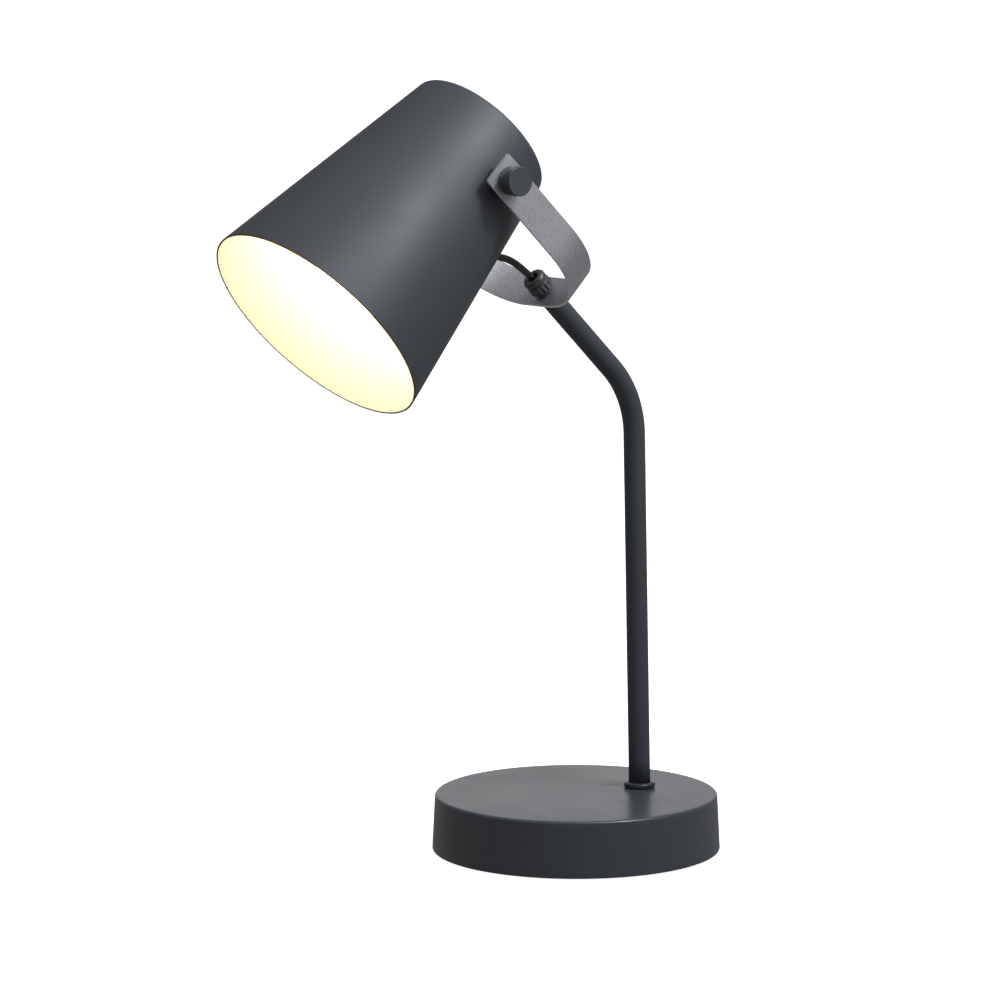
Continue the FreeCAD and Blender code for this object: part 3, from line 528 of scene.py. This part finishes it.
def make_materials():
    """Every finish of the lamp by name.

    A grained finish has a colour, contrast, grain per metre, roughness from and to, and depth of grain.
    """
    return {
        "anthracite": painted("anthracite_paint", ANTHRACITE, (0.50, 0.57)),
        "base_paint": painted("anthracite_base", tint(ANTHRACITE, 1.15), (0.29, 0.34)),
        # The stem's anthracite, darkened for the collar: painted shade at the stem's foot.
        "collar": painted("anthracite_collar_shaded", tint(ANTHRACITE, 0.55), (0.26, 0.32)),
        "knob": grained("knob_paint", (0.052, 0.062, 0.07), 0.10, 3200, (0.38, 0.46), 0.004 * MM),
        "grey_coat": strap_coat(),
        # A light colour for the strap's cut edges: a painted highlight.
        "painted_edge_highlight": grained("grey_coat_painted_highlight", (0.85, 0.85, 0.88), 0.1, 1800, (0.35, 0.5), 0.02 * MM, 3.0),
        "cast": cast_metal(),
        "zinc": bare_metal("zinc_steel", (0.55, 0.55, 0.53), 0.08, 1800, (0.28, 0.4)),
        "foam": grained("foam_pad", (0.028, 0.028, 0.03), 0.3, 1400, (0.85, 0.95), 0.08 * MM, 3.0),
        "rubber": grained("black_rubber", (0.018, 0.018, 0.019), 0.15, 1600, (0.55, 0.7), 0.01 * MM),
        "white": grained("white_moulding", (0.78, 0.76, 0.7), 0.03, 1200, (0.35, 0.45), 0.004 * MM),
        "brass": bare_metal("brass", (0.72, 0.52, 0.24), 0.08, 1500, (0.25, 0.38)),
        "pvc": cord_sheath(),
        "nylon": grained("black_nylon", (0.058, 0.059, 0.064), 0.7, 1300, (0.2, 0.4), 0.08 * MM),
        "fibre": grained("fibre_washer", (0.08, 0.08, 0.084), 0.2, 2400, (0.6, 0.75), 0.01 * MM),
        "bright": bare_metal("bright_metal", (0.8, 0.8, 0.78), 0.05, 1500, (0.18, 0.28)),
        "bead": grained("black_glass", (0.012, 0.011, 0.012), 0.1, 900, (0.1, 0.16), 0.002 * MM),
        "enamel": grained("white_enamel", (0.86, 0.86, 0.83), 0.02, 1600, (0.4, 0.5), 0.006 * MM),
        # Brown for the shade's lip: painted warm light of the bulb on the edge.
        "rim": grained("rim_painted_glow", (0.10, 0.037, 0.014), 0.15, 2000, (0.45, 0.55), 0.004 * MM),
        "glass": frosted_glass(),
    }


def frosted_glass():
    """Opal glass that glows warm, with faint clouds."""
    material, nodes, links, bsdf = shader("frosted_glass", Roughness=0.35, Emission_Strength=GLOW)
    cloud = noise(nodes, links, 300.0)
    warm = [(0.3, tint(GLOW_COLOUR, 0.97)), (0.7, GLOW_COLOUR)]
    opal = [(0.3, (0.9, 0.88, 0.82)), (0.7, (0.93, 0.91, 0.86))]
    links.new(ramp(nodes, links, cloud, warm), bsdf.inputs["Emission Color"])
    links.new(ramp(nodes, links, cloud, opal), bsdf.inputs["Base Color"])
    bump(nodes, links, bsdf, noise(nodes, links, 2400.0), 0.004 * MM)
    return material


CAD_FINISH = {
    "base_weight": "cast",
    "bottom_plate": "zinc",
    "base_pad": "foam",
    "plate_screws": "zinc",
    "cord_inlet_bush": "rubber",
    "terminal_block": "white",
    "terminal_barrels": "brass",
    "terminal_screws": "zinc",
    "stem_nipple": "zinc",
    "stem_washer": "zinc",
    "stem_nut": "zinc",
    "head_ferrule": "zinc",
    "lead_in_stem": "pvc",
    "spring_washers": "zinc",
    "pivot_spacers": "nylon",
    "pivot_pads": "nylon",
    "pivot_nuts": "zinc",
    "stud_left": "zinc",
    "stud_right": "zinc",
    "lead_grommet": "rubber",
    "lead_in_shade": "pvc",
    "holder_nipple": "zinc",
    "holder_star_washer": "zinc",
    "holder_nut": "zinc",
    "holder_core": "white",
    "holder_screw_shell": "brass",
    "holder_contact": "brass",
    "holder_dome": "white",
    "bulb_insulator": "bead",
    "bulb_contact": "bright",
}


def finish_cad_nodes(finishes):
    """Gives the CAD nodes that stay shown their finishes."""
    for node, finish in CAD_FINISH.items():
        shown = frame["nodes"][node]
        shown.data.materials.clear()
        shown.data.materials.append(finishes[finish])


def settle(piece, body, finishes, names, *nodes):
    """Gives a new piece its finishes, puts it on its body and lets it stand for its CAD nodes."""
    for name in names:
        piece.data.materials.append(finishes[name])
    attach(piece, body)
    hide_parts(*nodes)


# ---- base
def hollow(away):
    """A smooth hollow's depth, from 1 in its middle to nearly 0 at twice its radius."""
    return math.exp(-away ** 2)


def dished(radius, height, angle):
    """The base's top with a dish round the stem, a small dent and a faint ripple."""
    if height < BASE_TOP_Z - TOP_SKIN:
        return radius, height
    x = radius * math.cos(angle) - STEM_X
    y = radius * math.sin(angle) - STEM_Y
    dish = DISH_DEPTH * hollow(math.hypot(x, y) / DISH_R)
    dent = DENT_DEPTH * hollow(math.hypot(x + DENT_AWAY, y - DENT_AWAY) / DENT_R)
    wave = math.sin(RIPPLE_X[0] * x + RIPPLE_X[1]) * math.cos(RIPPLE_Y[0] * y + RIPPLE_Y[1])
    fade = min(1.0, max(0.0, (BASE_TOP_R - radius) / RIPPLE_FADE))
    return radius, height - dish - dent + RIPPLE_HEIGHT * wave * fade


def base_cover(finishes):
    """Pressed drum with soft edges, drilled for the mains cord and the stem."""
    wall = COVER_WALL
    corners = [(0, BASE_TOP_Z, 0),
               (BASE_TOP_R, BASE_TOP_Z, BASE_EDGE_R),
               (BASE_FOOT_R, BASE_FOOT_Z, FOOT_EDGE_R),
               (BASE_FOOT_R - wall, BASE_FOOT_Z, FOOT_INNER_R),
               (BASE_TOP_R - wall, BASE_TOP_Z - wall, TOP_INNER_R),
               (0, BASE_TOP_Z - wall, 0)]
    profile = refine(soften(corners, steps=6), longest=2.0 * MM)
    cover = lathe("base_cover_shell", profile, WORLD, 256, shape=dished)
    drill(cover, INLET_R, (BASE_TOP_R - 2 * OVERCUT, 0, INLET_Z), (BASE_FOOT_R + OVERCUT, 0, INLET_Z))
    above, below = BASE_TOP_Z + OVERCUT, BASE_TOP_Z - OVERCUT
    drill(cover, STEM_HOLE_R, (STEM_X, STEM_Y, below), (STEM_X, STEM_Y, above))
    settle(cover, "stand", finishes, ["base_paint"], "base_cover")


# ---- stem
def stem_path():
    """Points along the stem's centre line: a run, one bend and a run."""
    before = (STEM_CORNER - STEM_FOOT).normalized()
    after = (STRAP_MIDDLE - STEM_CORNER).normalized()
    turn = before.angle(after)
    reach = STEM_BEND_R * math.tan(turn / 2)
    bend_low = STEM_CORNER - before * reach
    points = [STEM_FOOT.lerp(bend_low, k / LOW_RUN_STEPS) for k in range(LOW_RUN_STEPS)]
    inward = (after - before * after.dot(before)).normalized()
    for k in range(BEND_STEPS + 1):
        angle = turn * k / BEND_STEPS
        points.append(bend_low + (before * math.sin(angle) + inward * (1 - math.cos(angle))) * STEM_BEND_R)
    last = points[-1]
    return points + [last.lerp(STRAP_MIDDLE, k / HIGH_RUN_STEPS) for k in range(1, HIGH_RUN_STEPS + 1)]


def stem(finishes):
    """Bent tube and the rounded collar at its foot, whose paint is darkened as painted shade."""
    tube = tube_mesh("stem_tube_skin", stem_path(), TUBE_R, 72)
    settle(tube, "stand", finishes, ["anthracite"], "stem_tube")
    corners = [(TUBE_R, 0, 0),
               (COLLAR_R - 0.6 * MM, 0, 0.4 * MM),
               (COLLAR_R, 0.9 * MM, 0.8 * MM),
               (COLLAR_R - 0.2 * MM, COLLAR_H - 0.6 * MM, 1.0 * MM),
               (TUBE_R + 1.0 * MM, COLLAR_H, 0.9 * MM),
               (TUBE_R, COLLAR_H, 0)]
    place = Matrix.Translation((STEM_X, STEM_Y, BASE_TOP_Z))
    collar = lathe("stem_collar_ring", soften(corners, steps=5), place, 96, closed=True)
    settle(collar, "stand", finishes, ["collar"], "stem_collar")


# ---- bracket
def strap_line():
    """Points of the strap's middle surface from one tab to the other: tab, arm, corner and back."""
    half = STRAP_INSIDE + STRAP_T / 2
    radius = STRAP_CORNER_R + STRAP_T / 2
    spring = STRAP_T / 2 + radius
    tab_low = STRAP_TOP - TAB_CORNER_R
    quarter = math.pi / 2
    side = []
    for k in range(TAB_STEPS + 1):
        side.append((half, tab_low + TAB_CORNER_R * math.cos(quarter * k / TAB_STEPS)))
    for k in range(1, ARM_STEPS + 1):
        side.append((half, tab_low - (tab_low - spring) * k / ARM_STEPS))
    for k in range(1, CORNER_STEPS + 1):
        angle = quarter * k / CORNER_STEPS
        side.append((half - radius + radius * math.cos(angle), spring - radius * math.sin(angle)))
    return [Vector((0, y, z)) for y, z in side] + [Vector((0, -y, z)) for y, z in reversed(side)]


def strap_half_width(height):
    """Half the strap's width at a height, narrower within its tabs' round corners."""
    gap = STRAP_TOP - height
    if gap >= TAB_CORNER_R:
        return STRAP_W / 2
    corner = math.sqrt(max(0.0, TAB_CORNER_R**2 - (TAB_CORNER_R - gap) ** 2))
    return STRAP_W / 2 + corner - TAB_CORNER_R


def strap_mesh():
    """The bent strap before it is drilled."""
    line = strap_line()
    mesh = bpy.data.meshes.new("bracket_strap")
    work = bmesh.new()
    rows = []
    for i, point in enumerate(line):
        ahead = (line[min(i + 1, len(line) - 1)] - line[max(i - 1, 0)]).normalized()
        out = Vector((1, 0, 0)).cross(ahead)
        half = strap_half_width(point.z)
        corners = [(-half, -STRAP_T / 2), (half, -STRAP_T / 2), (half, STRAP_T / 2), (-half, STRAP_T / 2)]
        rows.append([work.verts.new(point + Vector((x, 0, 0)) + out * t) for x, t in corners])
    for low, high in zip(rows, rows[1:]):
        for k in range(4):
            j = (k + 1) % 4
            work.faces.new((low[k], low[j], high[j], high[k])).smooth = True
    work.faces.new(rows[0])
    work.faces.new(rows[-1])
    bmesh.ops.recalc_face_normals(work, faces=work.faces)
    work.to_mesh(mesh)
    work.free()
    return mesh


def bracket(finishes):
    """U-shaped strap, drilled for the pivots and the cord grip, with softened cut edges that carry a painted
    highlight.
    """
    strap = add_object("bracket_strap", strap_mesh())
    outer, inner = STRAP_INSIDE + OVERCUT, STRAP_INSIDE - OVERCUT
    drill(strap, STUD_R, (0, outer, PIVOT_HEIGHT), (0, inner, PIVOT_HEIGHT))
    drill(strap, STUD_R, (0, -outer, PIVOT_HEIGHT), (0, -inner, PIVOT_HEIGHT))
    drill(strap, GRIP_SHANK_R, (0, 0, -OVERCUT), (0, 0, OVERCUT))
    strap.data.transform(STEM_FRAME)
    modified(strap, "BEVEL", width=STRAP_BEVEL, segments=3, limit_method="ANGLE",
             angle_limit=math.radians(40), harden_normals=True)
    applied(strap)
    across = (STEM_TURN @ Vector((1, 0, 0))).normalized()
    # Cut edges take the second slot, a painted highlight.
    for face in strap.data.polygons:
        if abs(face.normal.dot(across)) > EDGE_HIGHLIGHT_FACING:
            face.material_index = 1
    settle(strap, "stand", finishes, ["grey_coat", "painted_edge_highlight"], "bracket")


# ---- cord grip and lead
def ribbed(radius, height, angle):
    """The grip's barrel with its ribs, which fade out at both ends."""
    inside = min(height - RIB_LOW, RIB_HIGH - height)
    if inside <= 0 or radius < RIB_MIN_R:
        return radius, height
    crest = max(0.0, math.cos(GRIP_RIBS * angle)) ** RIB_ROUNDNESS
    return radius + RIB_HEIGHT * crest * min(1.0, inside / RIB_HEIGHT), height


def cord_grip(finishes):
    """Ribbed barrel and chamfered cap round the lead."""
    corners = [(GRIP_BORE_R, GRIP_FOOT, 0),
               (GRIP_SHANK_R, GRIP_FOOT, 0.3 * MM),
               (GRIP_SHANK_R, STRAP_T, 0),
               (GRIP_R - 1.0 * MM, STRAP_T, 0.3 * MM),
               (GRIP_R, RIB_LOW, 0.6 * MM),
               (GRIP_R, RIB_HIGH, 0.3 * MM),
               (GRIP_R - 0.7 * MM, GRIP_TOP - 0.3 * MM, 0.2 * MM),
               (GRIP_R - 0.7 * MM, GRIP_TOP, 0),
               (GRIP_BORE_R, GRIP_TOP, 0)]
    profile = refine(soften(corners, steps=4), longest=0.6 * MM)
    body = lathe("cord_grip_barrel", profile, STEM_FRAME, GRIP_RIBS * 14, closed=True, shape=ribbed)
    settle(body, "stand", finishes, ["nylon"], "cord_grip_body")
    corners = [(CAP_BORE_R, GRIP_TOP, 0),
               (CAP_R - 0.3 * MM, GRIP_TOP, 0.25 * MM),
               (CAP_R, GRIP_TOP + 0.5 * MM, 0.3 * MM),
               (CAP_R, CAP_TOP - 1.3 * MM, 0.4 * MM),
               (CAP_R - 1.0 * MM, CAP_TOP, 0.3 * MM),
               (CAP_BORE_R + 0.4 * MM, CAP_TOP, 0.3 * MM),
               (CAP_BORE_R, CAP_TOP - 0.5 * MM, 0)]
    profile = refine(soften(corners, steps=5), longest=0.8 * MM)
    cap = lathe("cord_grip_top", profile, STEM_FRAME, 96, closed=True)
    settle(cap, "stand", finishes, ["nylon"], "cord_grip_cap")


def slope_point(along, sideways):
    """A point in the arm's plane: millimetres up the stem's slope from the strap, and towards the mouth."""
    return STEM_FRAME @ Vector((-sideways * MM, 0, along * MM))


def shade_point(x, z):
    """A point in the arm's plane, in the shade's frame."""
    return SHADE_FRAME @ Vector((x, 0, z))


def lead_at_head(finishes):
    """The lead's free stretch between the stand and the shade, as one curved tube."""
    wall_x = -(SHADE_BACK_R + SHADE_TAPER * GROMMET_FROM_BACK)
    route = [slope_point(6.0, 0), slope_point(14.0, 0.6), slope_point(30.5, 2.9),
             shade_point(wall_x - 6.5 * MM, GROMMET_FROM_BACK),
             shade_point(wall_x + 1.5 * MM, GROMMET_FROM_BACK)]
    path = smooth_path(route)
    lead = tube_mesh("lead_loop", path, LEAD_R, 32)
    lead.data.materials.append(finishes["pvc"])
    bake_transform(lead)
    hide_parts("lead_at_head")


# ---- knobs and washers
def knob(name, node, body, place, finishes):
    """Turned knob with softened edges and a faintly dished face."""
    face, back = KNOB_FACE_Y, KNOB_BACK_Y
    dish_r = KNOB_R - KNOB_RIM
    corners = [(STUD_R, back, 0),
               (KNOB_R, back, KNOB_BACK_EDGE_R),
               (KNOB_R, face, KNOB_FACE_EDGE_R),
               (dish_r, face, 0.2 * MM),
               (dish_r - KNOB_STEP, face - KNOB_DISH, 0.2 * MM),
               (0, face - KNOB_DISH, 0)]
    bore = [Vector((0, face - KNOB_BORE)), Vector((STUD_R, face - KNOB_BORE))]
    profile = refine(soften(corners, steps=5), longest=1.2 * MM) + bore
    turned = lathe(name, profile, place, 96)
    close_bore(turned)
    settle(turned, body, finishes, ["knob"], node)


def close_bore(turned):
    """Joins a turned piece's back edge to its blind hole, so that the mesh is closed."""
    work = bmesh.new()
    work.from_mesh(turned.data)
    rims = [e for e in work.edges if e.is_boundary]
    bmesh.ops.bridge_loops(work, edges=rims)
    bmesh.ops.recalc_face_normals(work, faces=work.faces)
    for face_made in work.faces:
        face_made.smooth = True
    work.to_mesh(turned.data)
    work.free()


def washers(finishes):
    """The two fibre washers under the knobs, as one piece."""
    low = STRAP_INSIDE + STRAP_T
    high = low + FIBRE_T
    corners = [(STUD_R, low, 0), (FIBRE_R, low, 0.15 * MM), (FIBRE_R, high, 0.3 * MM), (STUD_R, high, 0)]
    profile = refine(soften(corners, steps=4), longest=1.5 * MM)
    left = lathe("fibre_washer_pair", profile, LEFT_FRAME, 96, closed=True)
    right = lathe("fibre_washer_right", profile, RIGHT_FRAME, 96, closed=True)
    work = bmesh.new()
    work.from_mesh(left.data)
    work.from_mesh(right.data)
    work.to_mesh(left.data)
    work.free()
    bpy.data.objects.remove(right)
    settle(left, "stand", finishes, ["fibre"], "fibre_washers")


# ---- shade
def shade_outline():
    """Points of the shade's outside and inside, which meet in the middle of its edge."""
    wall = SHADE_WALL
    edge = (SHADE_MOUTH_R - wall / 2, SHADE_L, 0)
    outer = [(0, 0, 0),
             (SHADE_BACK_R, 0, SHADE_EDGE_R),
             (SHADE_MOUTH_R - SHADE_TAPER * RIM_WIDTH, SHADE_L - RIM_WIDTH, 0),
             (SHADE_MOUTH_R, SHADE_L, SHADE_LIP_R),
             edge]
    inner = [edge,
             (SHADE_MOUTH_R - wall, SHADE_L, SHADE_LIP_R),
             (SHADE_BACK_R + SHADE_TAPER * wall - wall, wall, SHADE_EDGE_R - wall),
             (0, wall, 0)]
    outside = refine(soften(outer, steps=8), longest=3.0 * MM)
    inside = refine(soften(inner, steps=6), longest=3.0 * MM)
    return outside, inside


def shade(finishes):
    """Spun shade: anthracite outside, white enamel inside, with a narrow brown band on the lip between, which
    paints the bulb's warm light on the edge.
    """
    outside, inside = shade_outline()
    profile = outside + inside[1:]
    slots = []
    for index, (a, b) in enumerate(zip(profile, profile[1:])):
        outer_side = index < len(outside) - 1
        # Slot 2, the brown band round the lip, is painted warm light from the bulb.
        lit_reach = RIM_WIDTH + LIT_RIM_MARGIN if outer_side else LIT_RIM_INSIDE
        on_lit_rim = min(a[1], b[1]) > SHADE_L - lit_reach
        slots.append(2 if on_lit_rim else 0 if outer_side else 1)
    shell = lathe("shade_skin", profile, WORLD, 256, slots=slots)
    wall_x = -(SHADE_BACK_R + SHADE_TAPER * GROMMET_FROM_BACK)
    outer, inner = wall_x - OVERCUT, wall_x + OVERCUT
    drill(shell, GROMMET_HOLE_R, (outer, 0, GROMMET_FROM_BACK), (inner, 0, GROMMET_FROM_BACK))
    outer, inner = STRAP_INSIDE + OVERCUT, STRAP_INSIDE - 5 * OVERCUT
    for side in (-1, 1):
        drill(shell, PIVOT_HOLE_R, (0, side * outer, PIVOT_FROM_BACK), (0, side * inner, PIVOT_FROM_BACK))
    drill(shell, NIPPLE_R, (0, 0, -OVERCUT), (0, 0, OVERCUT))
    shell.data.transform(SHADE_FRAME)
    settle(shell, "head", finishes, ["anthracite", "enamel", "rim"], "shade_shell")


def cap_nut(finishes):
    """Domed nut on the shade's back."""
    corners = [(NIPPLE_R, 0, 0),
               (NUT_R, 0, 0.2 * MM),
               (NUT_R, -NUT_SIDE, 1.4 * MM),
               (NIPPLE_R, 0.2 * MM - NUT_H, 1.5 * MM),
               (0, -NUT_H, 0)]
    bore = [Vector((0, -NUT_BORE_DEPTH)), Vector((NIPPLE_R, -NUT_BORE_DEPTH))]
    profile = refine(soften(corners, steps=6), longest=1.0 * MM) + bore
    dome = lathe("shade_cap_nut", profile, SHADE_FRAME, 96)
    close_bore(dome)
    settle(dome, "head", finishes, ["knob"], "holder_cap_nut")


# ---- lampholder and bulb
def gripped(radius, height, angle):
    """The skirt's outside with the grooves of its grip band."""
    inside = min(height - SKIRT_RIB_LOW, SKIRT_RIB_HIGH - height)
    if radius < SKIRT_RIB_MIN_R or inside <= 0:
        return radius, height
    groove = max(0.0, math.cos(SKIRT_RIBS * angle)) ** 2
    return radius - SKIRT_RIB_DEPTH * groove * min(1.0, inside / MM), height


def holder_skirt(finishes):
    """Front half of the lampholder with a ribbed grip band and a narrow ring groove."""
    corners = [(SKIRT_SEAT_R, SKIRT_LOW, 0),
               (SKIRT_R, SKIRT_LOW, 1.2 * MM),
               (SKIRT_R, GROOVE_LOW, 0),
               (SKIRT_R - GROOVE_DEPTH, GROOVE_LOW + GROOVE_SLOPE, 0),
               (SKIRT_R - GROOVE_DEPTH, GROOVE_HIGH - GROOVE_SLOPE, 0),
               (SKIRT_R, GROOVE_HIGH, 0),
               (SKIRT_R, SKIRT_HIGH, 1.2 * MM),
               (SKIRT_INNER_R, SKIRT_HIGH, 0.5 * MM),
               (SKIRT_INNER_R, SKIRT_SEAT_Z, 0),
               (SKIRT_SEAT_R, SKIRT_SEAT_Z, 0)]
    profile = refine(soften(corners, steps=5), longest=1.0 * MM)
    skirt = lathe("holder_front", profile, SHADE_FRAME, SKIRT_RIBS * 8, closed=True, shape=gripped)
    settle(skirt, "head", finishes, ["white"], "holder_skirt")


def bulb_globe(finishes):
    """Frosted globe that narrows into its neck."""
    centre = BULB_TIP_Z - BULB_R
    drop = centre - NECK_HIGH
    start = math.atan2(NECK_R, drop) + math.acos(BULB_R / math.hypot(NECK_R, drop))
    joint = (BULB_R * math.sin(start), centre - BULB_R * math.cos(start), 0)
    corners = [(0, NECK_LOW, 0), (NECK_R, NECK_LOW, 0.6 * MM), (NECK_R, NECK_HIGH, NECK_FILLET_R), joint]
    profile = soften(corners, steps=10)
    for k in range(1, GLOBE_STEPS):
        angle = start + (math.pi - start) * k / GLOBE_STEPS
        profile.append(Vector((BULB_R * math.sin(angle), centre - BULB_R * math.cos(angle))))
    profile.append(Vector((0, BULB_TIP_Z)))
    globe = lathe("bulb_glass", refine(profile, longest=2.0 * MM), SHADE_FRAME, 128)
    settle(globe, "head", finishes, ["glass"], "bulb_globe")


def bulb_cap(finishes):
    """Rolled screw cap with its flared collar round the neck."""
    points = [(0, SCREW_TIP_Z), (SCREW_TIP_R, SCREW_TIP_Z)]
    for k in range(SCREW_STEPS + 1):
        part = k / SCREW_STEPS
        wave = 0.5 - 0.5 * math.cos(2 * math.pi * SCREW_TURNS * part)
        points.append((SCREW_ROOT_R + SCREW_RISE * wave, SCREW_LOW + (SCREW_HIGH - SCREW_LOW) * part))
    points += [(SCREW_ROOT_R, NECK_LOW - 0.8 * MM),
               (CAP_FLARE_R, NECK_LOW - 0.6 * MM),
               (CAP_FLARE_R, NECK_LOW + 4.0 * MM),
               (NECK_R, NECK_LOW + 4.0 * MM),
               (NECK_R, NECK_LOW),
               (0, NECK_LOW)]
    sleeve = lathe("bulb_screw_cap", points, SHADE_FRAME, 96)
    settle(sleeve, "head", finishes, ["bright"], "bulb_cap")


# ---- stage
def area_light(name, place, target, size, power, colour=(1, 1, 1)):
    """A rectangular soft light that faces a target."""
    data = bpy.data.lights.new(name, "AREA")
    data.shape = "RECTANGLE"
    data.size, data.size_y = size
    data.energy = power
    data.color = colour
    light = bpy.data.objects.new(name, data)
    bpy.context.scene.collection.objects.link(light)
    light.location = place
    light.rotation_euler = (Vector(target) - Vector(place)).to_track_quat("-Z", "Y").to_euler()


def overhead_light(strength, width):
    """Even soft light from above."""
    data = bpy.data.lights.new("overhead", "SUN")
    data.energy = strength
    data.angle = width
    light = bpy.data.objects.new("overhead", data)
    bpy.context.scene.collection.objects.link(light)


def make_floor():
    """Pale paper floor, which glows a little and neither lights the lamp nor shows in its gloss."""
    mesh = bpy.data.meshes.new("floor")
    work = bmesh.new()
    bmesh.ops.create_grid(work, x_segments=4, y_segments=4, size=FLOOR_HALF_SIZE)
    work.to_mesh(mesh)
    work.free()
    floor = add_object("floor", mesh)
    floor.location.z = -FLOOR_BELOW
    floor.visible_diffuse = False
    floor.visible_glossy = False
    finish, nodes, links, bsdf = shader("floor_paper", Roughness=0.9, Emission_Strength=FLOOR_GLOW)
    bsdf.inputs["Emission Color"].default_value = (1, 1, 1, 1)
    shades = [(0.3, (0.9, 0.9, 0.9)), (0.7, (0.93, 0.93, 0.93))]
    links.new(ramp(nodes, links, noise(nodes, links, 3.0), shades), bsdf.inputs["Base Color"])
    mesh.materials.append(finish)


def make_world(seen, lighting):
    """White surroundings that light the lamp less than their own brightness in the picture."""
    world = bpy.data.worlds.new("studio")
    bpy.context.scene.world = world
    world.use_nodes = True
    nodes, links = world.node_tree.nodes, world.node_tree.links
    path = nodes.new("ShaderNodeLightPath")
    choose = nodes.new("ShaderNodeMapRange")
    choose.inputs["To Min"].default_value = lighting
    choose.inputs["To Max"].default_value = seen
    links.new(path.outputs["Is Camera Ray"], choose.inputs["Value"])
    backdrop = nodes["Background"]
    backdrop.inputs["Color"].default_value = (1, 1, 1, 1)
    links.new(choose.outputs["Result"], backdrop.inputs["Strength"])


def make_stage():
    """Floor, surroundings and studio lights."""
    make_floor()
    make_world(WORLD_SEEN, WORLD_LIGHTING)
    overhead_light(strength=0.5, width=math.radians(80))
    area_light("key", (0.2, -0.65, 1.08), KEY_AIM, size=(0.6, 1.17), power=6.8, colour=KEY_COLOUR)
    area_light("key_small", (0.21, -0.65, 1.08), KEY_AIM, size=(0.1, 0.1), power=4.6, colour=KEY_COLOUR)
    area_light("backdrop", (0.9, 1.2, 0.3), (0.03, 0, 0.1), size=(1.3, 0.6), power=1.5)


make_camera()
FINISHES = make_materials()
finish_cad_nodes(FINISHES)
lead_at_head(FINISHES)
base_cover(FINISHES)
stem(FINISHES)
bracket(FINISHES)
cord_grip(FINISHES)
washers(FINISHES)
knob("knob_left_turned", "knob_left", "clamp_left", LEFT_FRAME, FINISHES)
knob("knob_right_turned", "knob_right", "clamp_right", RIGHT_FRAME, FINISHES)
shade(FINISHES)
cap_nut(FINISHES)
holder_skirt(FINISHES)
bulb_globe(FINISHES)
bulb_cap(FINISHES)
make_stage()
bpy.context.scene.view_settings.view_transform = "Standard"
